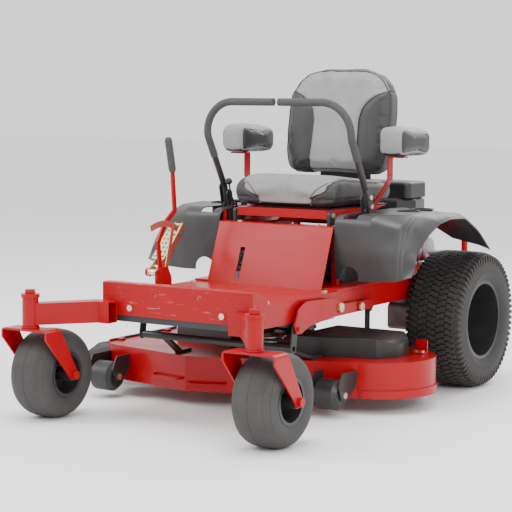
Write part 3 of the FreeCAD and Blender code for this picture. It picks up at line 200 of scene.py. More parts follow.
def makeFoam(name, colour, pale):
    paint = Paint(name)
    cell = paint.cells(1500.0)
    rings = paint.noise(240.0, 3.0)
    body = paint.mix(paint.spread(rings, 0.4, 0.7), colour, pale)
    return paint.finish(colour=body, roughness=0.74 + rings * 0.12,
                        normal=paint.bump(cell + rings * 0.6, 0.4, 0.0008))


def leatherGrain(paint, scale=620.0):  # fine pebbled cells with softer creases between them
    pebble = paint.cells(scale, "DISTANCE_TO_EDGE")
    crease = paint.noise(70.0, 4.0, 0.6)
    return paint.spread(pebble, 0.0, 0.16) * 0.7 + crease * 0.5


def makeVinyl(name, colour, pale, roughness=0.46):
    paint = Paint(name)
    height = leatherGrain(paint)
    cloud = paint.spread(paint.noise(13.0, 4.0), 0.38, 0.72)
    body = paint.mix(cloud * 0.5, colour, pale)
    return paint.finish(colour=body, roughness=roughness + cloud * 0.1, specular=0.45,
                        normal=paint.bump(height, 0.28, 0.0007))


looks = {
    "red": makeGlossPaint("crimsonPaint", (0.35, 0.001, 0.005), (0.38, 0.008, 0.012), 0.3),
    "redWorn": makeGlossPaint("crimsonPaintRubbed", (0.35, 0.0015, 0.006), (0.40, 0.018, 0.022), 0.33, 0.5),
    "black": makeSatin("satinBlackPaint", (0.020, 0.020, 0.021), (0.05, 0.048, 0.047), 0.38, 500.0, 0.06),
    "fender": makeSatin("grainedFenderPlastic", (0.030, 0.029, 0.030), (0.055, 0.053, 0.053),
                        0.36, 900.0, 0.1),
    "plastic": makeSatin("mouldedBlackPlastic", (0.014, 0.014, 0.014), (0.04, 0.039, 0.038), 0.4, 700.0, 0.1),
    "zinc": makeZinc("yellowZinc", [(0.25, (0.62, 0.45, 0.24)), (0.5, (0.80, 0.68, 0.42)),
                                    (0.75, (0.66, 0.52, 0.50))]),
    "bright": makeZinc("brightZinc", [(0.2, (0.62, 0.62, 0.64)), (0.8, (0.82, 0.82, 0.83))], 0.22),
    "steel": makeCast("bladeSteel", (0.42, 0.41, 0.40), 0.36, 1.0),
    "alloy": makeCast("castAlloy", (0.46, 0.46, 0.47)),
    "tyre": makeTyreRubber("tyreRubber", (0.030, 0.028, 0.027), (0.068, 0.062, 0.059)),
    "caster": makeTyreRubber("casterRubber", (0.045, 0.043, 0.042), (0.09, 0.086, 0.084)),
    "belt": makeTyreRubber("beltRubber", (0.016, 0.016, 0.016), (0.03, 0.03, 0.03)),
    "foam": makeFoam("gripFoam", (0.045, 0.044, 0.045), (0.085, 0.083, 0.085)),
    "greyVinyl": makeVinyl("lightGreyVinyl", (0.235, 0.23, 0.232), (0.32, 0.314, 0.316)),
    "blackVinyl": makeVinyl("charcoalVinyl", (0.024, 0.023, 0.025), (0.045, 0.044, 0.047), 0.4),
    "piping": makeVinyl("darkGreyVinyl", (0.062, 0.061, 0.064), (0.095, 0.094, 0.097), 0.5),
}
print("finishes made:", len(looks))


def dress(name, look):  # a CAD node keeps its mesh and takes a finish
    data = nodes[name].data
    data.materials.clear()
    data.materials.append(looks[look])


cadFinishes = {
    "rails": "red", "caster_arms": "red", "tower_posts": "red", "seat_pan": "red", "seat_base": "black",
    "lift_arms": "red", "frame_bolts": "zinc", "lever_pivots": "black", "rear_frame": "red",
    "engine_block": "alloy", "blower_housing": "plastic", "transaxles": "alloy", "traction_belt": "belt",
    "fuel_tank": "plastic", "engine_shaft": "steel", "left_pump": "steel", "right_pump": "steel",
    "arm_bars": "red", "throttle_lever": "plastic", "lift_lever": "red", "lift_grip": "foam",
    "lift_pedal": "zinc", "deck_shell": "red", "spindle_housings": "black", "deck_belt": "belt",
    "belt_covers": "plastic", "deck_carrier": "black", "deck_bolts": "zinc", "discharge_chute": "plastic",
    "rear_lift_arms": "black", "console_panel": "red", "platform": "redWorn", "front_beam": "redWorn",
    "fender_trim": "plastic", "left_blade": "steel", "centre_blade": "steel", "right_blade": "steel",
    "left_roller": "plastic", "right_roller": "plastic",
}
for side in ("left", "right"):
    cadFinishes.update({side + "_fender": "fender", side + "_lever_base": "black",
                        side + "_lever_bar": "black", side + "_lever_grip": "foam",
                        side + "_drive_tyre": "tyre", side + "_drive_rim": "black",
                        side + "_caster_tyre": "caster", side + "_caster_rim": "black",
                        side + "_caster_fork": "red"})
for name, look in cadFinishes.items():
    dress(name, look)
for name in ("seat_cushion", "seat_back", "arm_pads"):
    dress(name, "blackVinyl")
print("finishes given to the frame")


def unit(value):  # held between nothing and one
    return max(0.0, min(1.0, value))


def makeObject(name, verts, faces, look=None):
    data = bpy.data.meshes.new(name)
    data.from_pydata([tuple(v) for v in verts], [], faces)
    data.update()
    piece = bpy.data.objects.new(name, data)
    bpy.context.scene.collection.objects.link(piece)
    if look:
        data.materials.append(looks[look])
    return piece


def faceOutward(piece):
    shape = bmesh.new()
    shape.from_mesh(piece.data)
    bmesh.ops.remove_doubles(shape, verts=shape.verts, dist=1e-6)
    bmesh.ops.recalc_face_normals(shape, faces=shape.faces)
    shape.to_mesh(piece.data)
    shape.free()


def settle(piece):  # the evaluated result becomes the piece's own plain mesh
    bpy.context.view_layer.update()
    ready = piece.evaluated_get(bpy.context.evaluated_depsgraph_get())
    data = bpy.data.meshes.new_from_object(ready)
    piece.modifiers.clear()
    piece.data = data
    return piece


def smooth(piece, angle=35.0):
    for face in piece.data.polygons:
        face.use_smooth = True
    piece.data.set_sharp_from_angle(angle=math.radians(angle))
    return piece


def finishPiece(piece, body, stands=()):
    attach(piece, body)
    if stands:
        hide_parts(*stands)
    return piece


def ringMesh(rings):  # faces between closed rings of equal length, with the first and last left open
    count = len(rings[0])
    verts = [p for ring in rings for p in ring]
    faces = []
    for r in range(len(rings) - 1):
        for i in range(count):
            j = (i + 1) % count
            faces.append((r * count + i, r * count + j, (r + 1) * count + j, (r + 1) * count + i))
    return verts, faces


def lofted(name, rings):  # a skin over rings, with a fan of triangles at each end
    verts, faces = ringMesh(rings)
    count = len(rings[0])
    for ring, offset in ((rings[0], 0), (rings[-1], (len(rings) - 1) * count)):
        verts.append(sum((Vector(p) for p in ring), Vector()) / count)
        for i in range(count):
            faces.append((offset + i, offset + (i + 1) % count, len(verts) - 1))
    piece = makeObject(name, verts, faces)
    faceOutward(piece)
    return piece


def spun(name, profile, centre, look, steps):  # a closed profile of (along x, radius) about the x axis
    rings = []
    for i in range(steps):
        a = 2 * math.pi * i / steps
        rings.append([at(*centre) + Vector((w, r * math.cos(a), r * math.sin(a))) / 1000
                      for w, r in profile])
    rings.append(rings[0])
    verts, faces = ringMesh(rings)
    piece = makeObject(name, verts, faces, look)
    faceOutward(piece)
    return smooth(piece, 32)


class Growth:  # one Geometry Nodes tree with named inputs
    def __init__(self, name, inputs):
        self.tree = bpy.data.node_groups.new(name, "GeometryNodeTree")
        self.keys = {}
        for label, kind in inputs.items():
            socket = self.tree.interface.new_socket(label, in_out="INPUT", socket_type="NodeSocket" + kind)
            self.keys[label] = socket.identifier
        self.tree.interface.new_socket("Geometry", in_out="OUTPUT", socket_type="NodeSocketGeometry")
        self.start = self.tree.nodes.new("NodeGroupInput")
        self.end = self.tree.nodes.new("NodeGroupOutput")

    def input(self, label):
        return self.start.outputs[label]

    def node(self, kind, settings, inputs, output=0):
        made = self.tree.nodes.new(kind)
        for key, value in settings.items():
            setattr(made, key, value)
        for key, value in inputs.items():
            if isinstance(value, bpy.types.NodeSocket):
                self.tree.links.new(value, made.inputs[key])
            else:
                made.inputs[key].default_value = value
        return made.outputs[output]

    def close(self, instances):
        solid = self.node("GeometryNodeRealizeInstances", {}, {0: instances})
        painted = self.node("GeometryNodeSetMaterial", {},
                            {"Geometry": solid, "Material": self.input("Finish")})
        self.tree.links.new(painted, self.end.inputs[0])

    def grow(self, name, values):
        piece = makeObject(name, [(0, 0, 0)], [])
        modifier = piece.modifiers.new("growth", "NODES")
        modifier.node_group = self.tree
        for label, value in values.items():
            modifier[self.keys[label]] = value
        return settle(piece)


def makeRingTree():  # copies of one shape turned about the x axis through a centre
    tree = Growth("copiesRoundAnAxle", {"Shape": "Object", "Count": "Int", "Centre": "Vector",
                                        "Finish": "Material"})
    points = tree.node("GeometryNodePoints", {},
                       {"Count": tree.input("Count"), "Position": tree.input("Centre")})
    step = tree.node("ShaderNodeMath", {"operation": "DIVIDE"}, {0: 2 * math.pi, 1: tree.input("Count")})
    index = tree.node("GeometryNodeInputIndex", {}, {})
    turn = tree.node("ShaderNodeMath", {"operation": "MULTIPLY"}, {0: index, 1: step})
    spin = tree.node("ShaderNodeCombineXYZ", {}, {0: turn})
    shape = tree.node("GeometryNodeObjectInfo", {}, {"Object": tree.input("Shape")}, "Geometry")
    tree.close(tree.node("GeometryNodeInstanceOnPoints", {},
                         {"Points": points, "Instance": shape, "Rotation": spin}))
    return tree


ringTree = makeRingTree()


def makePath(name, points, closed):
    curve = bpy.data.curves.new(name, "CURVE")
    curve.dimensions = "3D"
    spline = curve.splines.new("NURBS")
    spline.points.add(len(points) - 1)
    for spot, point in zip(spline.points, points):
        spot.co = (*point, 1)
    spline.order_u, spline.use_endpoint_u = 3, not closed
    spline.use_cyclic_u = closed
    spline.resolution_u = 4
    path = bpy.data.objects.new(name, curve)
    bpy.context.scene.collection.objects.link(path)
    return path


def tube(name, points, radius, look, closed=False):
    path = makePath(name, points, closed)
    path.data.bevel_depth, path.data.bevel_resolution = radius / 1000, 3
    path.data.use_fill_caps = True
    data = bpy.data.meshes.new_from_object(path.evaluated_get(bpy.context.evaluated_depsgraph_get()))
    bpy.data.objects.remove(path)
    piece = bpy.data.objects.new(name, data)
    bpy.context.scene.collection.objects.link(piece)
    data.materials.clear()
    data.materials.append(looks[look])
    return smooth(piece, 60)


def discard(*pieces):
    for piece in pieces:
        bpy.data.objects.remove(piece)


def joined(name, pieces):
    shape = bmesh.new()
    slots = []
    for piece in pieces:
        before = len(shape.faces)
        shape.from_mesh(piece.data)
        shape.faces.ensure_lookup_table()
        moved = {}
        for number, finish in enumerate(piece.data.materials):
            if finish not in slots:
                slots.append(finish)
            moved[number] = slots.index(finish)
        for face in shape.faces[before:]:
            face.material_index = moved.get(face.material_index, 0)
    whole = makeObject(name, [], [])
    shape.to_mesh(whole.data)
    shape.free()
    for finish in slots:
        whole.data.materials.append(finish)
    discard(*pieces)
    return whole


print("growth tree ready")


# Metal and moulded parts whose loose pieces have different finishes or need softened edges.
def splitParts(name):
    shape = bmesh.new()
    shape.from_mesh(nodes[name].data)
    bmesh.ops.remove_doubles(shape, verts=shape.verts, dist=2e-6)
    seen, parts = set(), []
    for seed in shape.verts:
        if seed in seen:
            continue
        pile, part = [seed], []
        seen.add(seed)
        while pile:
            vert = pile.pop()
            part.append(vert)
            for edge in vert.link_edges:
                other = edge.other_vert(vert)
                if other not in seen:
                    seen.add(other)
                    pile.append(other)
        parts.append(part)
    return shape, parts


def refine(name, body, look, soften, other):  # other(low, high, count) may give a loose piece a finish
    shape, parts = splitParts(name)
    slots = [look]
    for part in parts:
        low = Vector([min(v.co[i] for v in part) for i in range(3)])
        high = Vector([max(v.co[i] for v in part) for i in range(3)])
        wanted = (other(low, high, len(part)) if other else None) or look
        if wanted not in slots:
            slots.append(wanted)
        for face in {f for v in part for f in v.link_faces}:
            face.material_index = slots.index(wanted)
    bmesh.ops.dissolve_limit(shape, angle_limit=math.radians(0.6), verts=shape.verts, edges=shape.edges,
                             delimit={"MATERIAL"})
    piece = makeObject("shown_" + name, [], [])
    shape.to_mesh(piece.data)
    shape.free()
    for wanted in slots:
        piece.data.materials.append(looks[wanted])
    if soften:
        edge = piece.modifiers.new("softEdges", "BEVEL")
        edge.width, edge.segments, edge.limit_method = soften / 1000, 2, "ANGLE"
        edge.angle_limit, edge.use_clamp_overlap = math.radians(42), True
        settle(piece)
    smooth(piece, 38)
    even = piece.modifiers.new("evenShading", "WEIGHTED_NORMAL")
    even.keep_sharp = True
    settle(piece)
    return finishPiece(piece, body, (name,))


def hardware(limit):  # loose pieces smaller than the limit are zinc
    return lambda low, high, count: "zinc" if max(high - low) < limit else None


bodyOf = {name: body for body, names in frame["record"]["behaviour"]["bodies"].items() for name in names}

refined = [("rails", "red_paint", "red", 1.2), ("caster_arms", "red_paint", "red", 1.2),
           ("platform", "red_paint", "redWorn", 1.0), ("front_beam", "red_paint", "redWorn", 1.2),
           ("console_panel", "red_paint", "red", 1.0), ("tower_posts", "red_paint", "red", 1.0),
           ("arm_bars", "red_paint", "red", 0.8), ("seat_pan", "red_paint", "red", 1.0),
           ("lift_arms", "red_paint", "red", 0.8), ("belt_covers", "black_plastic", "plastic", 2.0),
           ("fuel_tank", "black_plastic", "plastic", 3.0), ("deck_carrier", "black_paint", "black", 0.6),
           ("fender_trim", "fender_plastic", "plastic", 0.8), ("lever_pivots", "black_paint", "black", 0.6),
           ("rear_frame", "red_paint", "red", 1.2), ("discharge_chute", "black_plastic", "plastic", 0.8)]
for side in ("left", "right"):
    refined += [(side + "_caster_fork", "red_paint", "red", 1.2),
                (side + "_lever_base", "black_paint", "black", 0.6),
                (side + "_lever_bar", "black_paint", "black", 0.0),
                (side + "_drive_rim", "black_paint", "black", 0.6)]


def partFinish(name):  # which loose pieces of a node differ from the rest, by where they are
    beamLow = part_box("front_beam")[0]
    rules = {
        "front_beam": lambda low, high, count: "black" if high.z < beamLow.z + 0.025 else None,
        "caster_arms": lambda low, high, count: "steel" if high.z - low.z < 0.03 else None,
        "platform": lambda low, high, count: "zinc" if high.x < beamLow.x - 0.007 and high.z > 0.55 else None,
        "tower_posts": lambda low, high, count: "plastic" if high.z - low.z < 0.058 and count > 40 else None,
        "lift_arms": hardware(0.06),
        "lever_pivots": lambda low, high, count: "bright" if high.y - low.y > 0.15 else None,
        "deck_carrier": lambda low, high, count: "zinc" if high.z < 0.11 and low.z > 0.07 else None,
    }
    if name.endswith("caster_fork"):
        return lambda low, high, count: ("bright" if low.z > 0.335 and high.x - low.x > 0.055 else
                                         "zinc" if high.x - low.x > 0.2 and high.z - low.z < 0.06 else
                                         "bright" if low.z > 0.33 else None)
    if name.endswith("drive_rim"):
        return hardware(0.045)
    if name.endswith("lever_bar"):
        return hardware(0.03)
    return rules.get(name)


for name, slot, look, soften in refined:
    refine(name, bodyOf[name], look, soften, partFinish(name))
print("metal and moulded parts refined:", len(refined))


turf = {"centre": (469, 0, 279.4), "radius": 279.4, "width": 241, "rim": 152, "bead": 97, "treadDepth": 9.0,
        "pitches": 68, "rows": (-80, -40, 0, 40, 80), "blockWide": 37.0, "blockLong": 19.5, "skew": 3.4}


def crownRadius(w):  # how far the carcass stands from the axle, across its width
    share = min(abs(w) / (turf["width"] / 2), 1.0)
    shoulder = 42 * max(share - 0.72, 0) ** 1.6 / 0.28 ** 1.6 * 0.5
    return turf["radius"] - turf["treadDepth"] - 5 * share ** 2 - shoulder


def makeTreadPitch():  # one row of turf blocks across the tyre, about an axle at the origin
    verts, faces = [], []
    depth = turf["treadDepth"] - 0.6
    step = 2 * math.pi / turf["pitches"]
    for number, row in enumerate(turf["rows"]):
        shift = (number % 2) * 0.5 * step
        wide, long, skew = turf["blockWide"] / 2, turf["blockLong"] / 2, turf["skew"]
        skew = skew if number % 2 else -skew
        outline = [(-wide, -long + skew), (-wide * 0.12, -long + skew), (wide * 0.12, -long - skew),
                   (wide, -long - skew), (wide, long - skew), (wide * 0.12, long - skew),
                   (-wide * 0.12, long + skew), (-wide, long + skew)]
        start = len(verts)
        for level, grow in ((-1.5, 1.0), (depth - 1.2, 1.0), (depth, 0.9)):
            for w, t in outline:
                x = row + w * grow
                r = crownRadius(x) + level
                a = shift + t * grow / turf["radius"]
                verts.append((x / 1000, r * math.cos(a) / 1000, r * math.sin(a) / 1000))
        count = len(outline)
        for ring in range(2):
            for i in range(count):
                a, b = start + ring * count + i, start + ring * count + (i + 1) % count
                faces.append((a, b, b + count, a + count))
        faces.append(tuple(start + 2 * count + i for i in range(count)))
    for sideSign in (-1, 1):
        start = len(verts)
        edge = turf["width"] / 2
        reach = [(0.86, 0.0), (0.965, 3.4), (0.992, 16.0), (0.985, 34.0)]
        for out in (0.0, 1.0):
            for share, drop in reach:
                for t in (-7.5, 7.5):
                    x = sideSign * (edge * share - 3.5 * (1 - out))
                    r = crownRadius(sideSign * edge * min(share, 0.86)) - drop + out * depth * (1 - drop / 60)
                    a = 0.25 * step + t * (1 - 0.18 * out) / turf["radius"] + sideSign * drop * 0.0006
                    verts.append((x / 1000, r * math.cos(a) / 1000, r * math.sin(a) / 1000))
        low, top = start, start + 2 * len(reach)
        for i in range(len(reach) - 1):
            for base in (low, top):
                a = base + 2 * i
                faces.append((a, a + 1, a + 3, a + 2))
            for edgeSide in (0, 1):
                a, b = low + 2 * i + edgeSide, top + 2 * i + edgeSide
                faces.append((a, a + 2, b + 2, b))
        for end in (0, 2 * len(reach) - 2):
            faces.append((low + end, low + end + 1, top + end + 1, top + end))
    pitch = makeObject("treadPitch", verts, faces, "tyre")
    faceOutward(pitch)
    return pitch


def mirrored(profile):  # the other half of a section, drawn back the way it came
    return [(-w, r) for w, r in reversed(profile)]


def carcass():
    edge, bead, rim = turf["width"] / 2, turf["bead"], turf["rim"]
    wall = [(-bead, rim), (-bead - 5, rim + 6), (-edge + 5, rim + 22), (-edge + 0.8, rim + 40),
            (-edge + 0.6, rim + 46), (-edge + 2.0, rim + 48), (-edge + 0.8, rim + 50),
            (-edge + 0.5, rim + 72), (-edge + 5, rim + 92)]
    crown = [(w, crownRadius(w)) for w in range(-108, 109, 9)]
    inner = [(bead - 14, rim), (edge - 18, rim + 50), (edge - 24, rim + 92), (70, rim + 108)]
    return wall + crown + mirrored(wall) + inner + mirrored(inner)


def makeDriveTyre(side):
    x, y, z = turf["centre"]
    centre = (x if side == "left" else -x, y, z)
    body = spun("carcass", carcass(), centre, "tyre", 120)
    pitch = makeTreadPitch()
    blocks = ringTree.grow("blocks", {"Shape": pitch, "Count": turf["pitches"], "Centre": at(*centre),
                                      "Finish": looks["tyre"]})
    discard(pitch)
    whole = joined(side + "TurfTyre", [body, blocks])
    return finishPiece(smooth(whole, 30), side + "_drive_wheel", (side + "_drive_tyre",))


caster = {"centre": (483, -1482, 165.1), "radius": 165.1, "width": 165, "rim": 76, "bead": 67}


def makeCasterTyre(side):
    sign = 1 if side == "left" else -1
    edge, bead, rim, top = caster["width"] / 2, caster["bead"], caster["rim"], caster["radius"]
    out = [(-bead, rim), (-bead - 5, rim + 5), (-edge + 3, rim + 20), (-edge + 0.5, rim + 36),
           (-edge + 1, rim + 50), (-edge + 4, rim + 62), (-edge + 6.5, rim + 64.5),
           (-edge + 7.5, rim + 64), (-edge + 9, rim + 68), (-edge + 15, rim + 75),
           (-edge + 25, rim + 81), (-edge + 27, rim + 80.8), (-edge + 29, rim + 83),
           (-44, top - 3.2), (-30, top - 1.4), (-15, top - 0.4), (-2.2, top), (-0.8, top - 1.3)]
    inner = [(bead - 10, rim), (edge - 12, rim + 40), (edge - 22, rim + 70)]
    full = out + mirrored(out) + inner + mirrored(inner)
    x, y, z = caster["centre"]
    piece = spun(side + "SmoothTyre", full, (sign * x, y, z), "caster", 128)
    return finishPiece(piece, side + "_caster_wheel", (side + "_caster_tyre",))


for side in ("left", "right"):
    makeDriveTyre(side)
    makeCasterTyre(side)
print("tyres made")


fender = {"columns": 118, "easing": 30, "skin": 4.0, "outer": 606,
          "sections": [(264, [(-690, 490), (-697, 600), (-700, 716), (-676, 738), (-400, 738), (-200, 738),
                              (-100, 734), (-40, 715)]),
                       (430, [(-712, 490), (-716, 600), (-706, 716), (-676, 744), (-400, 744), (-230, 738),
                              (-90, 694), (0, 612)]),
                       (540, [(-716, 498), (-712, 606), (-664, 708), (-570, 742), (-400, 744), (-250, 734),
                              (-110, 672), (20, 588)]),
                       (606, [(-714, 520), (-660, 602), (-572, 668), (-474, 706), (-380, 722), (-250, 717),
                              (-120, 656), (-8, 574)])],
          "cups": ((440, -420), (440, -300)), "cupRadius": 37, "slot": ((299, 359), (-692, -470)),
          "frontHole": (334, -700, 500), "frontHoleRadius": 42}


def makeFenderGrid():  # the loft of the sections, its edges eased by averaging each point with its neighbours
    lines = [[Vector((0, y, z)) for y, z in points] for _, points in fender["sections"]]
    counts = [max(2, round((a - b).length / 5.5)) for a, b in zip(lines[1], lines[1][1:])]
    stations = [(i + step / count) for i, count in enumerate(counts) for step in range(count)] + [len(counts)]
    knots = [section[0] for section in fender["sections"]]
    columns = fender["columns"]
    grid = []
    for station in stations:
        i = min(int(station), len(counts) - 1)
        row = []
        for c in range(columns + 1):
            x = knots[0] + (knots[-1] - knots[0]) * c / columns
            k = max(n for n in range(len(knots) - 1) if x >= knots[n] - 1e-6)
            share = (x - knots[k]) / (knots[k + 1] - knots[k])
            ends = [line[i].lerp(line[i + 1], station - i) for line in (lines[k], lines[k + 1])]
            point = ends[0].lerp(ends[1], share)
            row.append(Vector((x, point.y, point.z)))
        grid.append(row)
    for _ in range(fender["easing"]):
        last = [[p.copy() for p in row] for row in grid]
        for r in range(1, len(grid) - 1):
            for c in range(columns + 1):
                near = last[r - 1][c] + last[r + 1][c]
                if 0 < c < columns:
                    near = (near + last[r][c - 1] + last[r][c + 1]) / 2
                grid[r][c] = last[r][c] * 0.5 + near * 0.25
    return grid


def makeFender(side):
    sign = 1 if side == "left" else -1
    grid = makeFenderGrid()
    columns, rows = fender["columns"], len(grid) - 1
    reach = [0.0] * (rows + 1)
    for r in range(rows - 1, -1, -1):
        reach[r] = reach[r + 1] + (grid[r][columns] - grid[r + 1][columns]).length
    verts = []
    for r in range(rows + 1):
        for c in range(columns + 1):
            across = grid[r][min(c + 1, columns)] - grid[r][max(c - 1, 0)]
            lengthways = grid[min(r + 1, rows)][c] - grid[max(r - 1, 0)][c]
            normal = across.cross(lengthways).normalized()
            point = grid[r][c]
            edge = fender["outer"] - point.x + 30 * max(0, (point.y + 500) / -400)
            press = math.exp(-((edge - 58) / 3.4) ** 2) + 0.8 * math.exp(-((edge - 70) / 3.0) ** 2)
            lip = math.exp(-(edge / 9) ** 2)
            swell = 7.5 * math.sin(math.pi * unit(edge / 64)) * min(1, reach[r] / 80)
            swell *= unit((r / rows - 0.04) * 9)
            point = point + normal * (swell - 2.8 * press * min(1, reach[r] / 60) - 0.6 - 2.5 * lip)
            point.x = min(point.x, fender["outer"] - 0.2)
            verts.append(at(sign * point.x, point.y, point.z))
    wide = columns + 1
    faces = [(r * wide + c, r * wide + c + 1, (r + 1) * wide + c + 1, (r + 1) * wide + c)
             for r in range(rows) for c in range(columns)]
    if sign < 0:
        faces = [tuple(reversed(face)) for face in faces]
    shell = makeObject(side + "FenderShell", verts, faces, "fender")
    wall = shell.modifiers.new("wall", "SOLIDIFY")
    wall.thickness, wall.offset = fender["skin"] / 1000, -1
    (x0, x1), (y0, y1) = fender["slot"]
    cutters = []
    for x, y in fender["cups"]:
        bpy.ops.mesh.primitive_cylinder_add(vertices=48, radius=fender["cupRadius"] / 1000, depth=0.12,
                                            location=at(sign * x, y, 735))
        cutters.append(bpy.context.object)
    x, y, z = fender["frontHole"]
    bpy.ops.mesh.primitive_cylinder_add(vertices=64, radius=fender["frontHoleRadius"] / 1000, depth=0.09,
                                        location=at(sign * x, y, z), rotation=(math.pi / 2, 0, 0))
    cutters.append(bpy.context.object)
    bpy.ops.mesh.primitive_cube_add(size=1, location=at(sign * (x0 + x1) / 2, (y0 + y1) / 2, 725))
    bpy.context.object.scale = ((x1 - x0) / 1000, (y1 - y0) / 1000, 0.09)
    cutters.append(bpy.context.object)
    for cutter in cutters:
        hole = shell.modifiers.new("hole", "BOOLEAN")
        hole.operation, hole.object, hole.solver = "DIFFERENCE", cutter, "EXACT"
    settle(shell)
    discard(*cutters)
    return finishPiece(smooth(shell, 40), "chassis", (side + "_fender",))


for side in ("left", "right"):
    makeFender(side)
print("fenders made")


# The seat: crowned pads that are puffed up as cloth, then seamed and piped.
def superRing(centre, halfWide, halfDeep, power, across, deep, count=72):
    ring = []
    for i in range(count):
        a = 2 * math.pi * i / count
        c, s = math.cos(a), math.sin(a)
        x = halfWide * math.copysign(abs(c) ** (2 / power), c)
        w = halfDeep * math.copysign(abs(s) ** (2 / power), s)
        ring.append(centre + across * (x / 1000) + deep * (w / 1000))
    return ring


def puff(piece, spec):
    grid = piece.modifiers.new("evenMesh", "REMESH")
    grid.mode, grid.voxel_size = "VOXEL", spec["voxel"] / 1000
    settle(piece)
    rest = [v.co.copy() for v in piece.data.vertices]
    cloth = piece.modifiers.new("stuffing", "CLOTH")
    settings = cloth.settings
    settings.use_pressure, settings.uniform_pressure_force = True, spec["pressure"]
    settings.effector_weights.gravity = 0
    settings.quality, settings.mass = 5, 0.4
    settings.tension_stiffness = settings.compression_stiffness = 22
    settings.bending_stiffness = 0.8
    cloth.point_cache.frame_start, cloth.point_cache.frame_end = 1, 20
    for step in range(1, 21):
        bpy.context.scene.frame_set(step)
    ready = piece.evaluated_get(bpy.context.evaluated_depsgraph_get())
    moved = [v.co.copy() for v in ready.data.vertices]
    piece.modifiers.clear()
    bpy.context.scene.frame_set(1)
    limit = spec["cap"] / 1000
    for vert, start, end in zip(piece.data.vertices, rest, moved):
        move = end - start
        vert.co = start + (move if move.length < limit else move.normalized() * limit)
    extra = piece.modifiers.new("finer", "SUBSURF")
    extra.levels = extra.render_levels = 1
    settle(piece)
    return piece


def pinch(piece, distance, depth, wide):  # pulls the surface in along a seam; distance(point) is in metres
    normals = [v.normal.copy() for v in piece.data.vertices]
    for vert, normal in zip(piece.data.vertices, normals):
        d = distance(vert.co)
        if d < wide * 3:
            vert.co -= normal * (depth * math.exp(-(d / wide) ** 2))


def onSurface(piece, points, direction, lift=0.0):  # where lines along a direction first meet the piece
    tree = BVHTree.FromObject(piece, bpy.context.evaluated_depsgraph_get())
    found = []
    for point in points:
        hit, normal, _, _ = tree.ray_cast(point - direction, direction)
        if hit is not None:
            found.append(hit + normal * lift)
    return found


def paintFaces(piece, names, choose):
    piece.data.materials.clear()
    for name in names:
        piece.data.materials.append(looks[name])
    for face in piece.data.polygons:
        face.material_index = choose(face.center, face.normal)
        face.use_smooth = True


back = {"low": 868, "height": 446, "rearShift": -214, "lean": 9, "halfDeep": 52, "power": 4.2, "voxel": 6.0,
        "pressure": 4.0, "cap": 9,
        "outline": [(0, 214), (30, 232), (90, 248), (170, 253), (260, 254), (330, 248), (385, 222),
                    (420, 178), (440, 110)],
        "panel": [(0, 116), (120, 108), (220, 106), (262, 116), (292, 136), (318, 170), (338, 212),
                  (352, 262)]}

lean = math.radians(back["lean"])
backUp = Vector((0, math.sin(lean), math.cos(lean)))
backDeep = Vector((0, math.cos(lean), -math.sin(lean)))  # rearward, square to the backrest
backFoot = at(0, back["rearShift"], back["low"])


def between(table, value):  # straight lines through the rows of a small table
    if value <= table[0][0]:
        return table[0][1]
    for (a, p), (b, q) in zip(table, table[1:]):
        if value <= b:
            return p + (q - p) * (value - a) / (b - a)
    return table[-1][1]


def backPlace(point):  # height up the backrest and distance sideways, in millimetres
    away = point - backFoot
    return away.dot(backUp) * 1000, away.x * 1000, away.dot(backDeep) * 1000


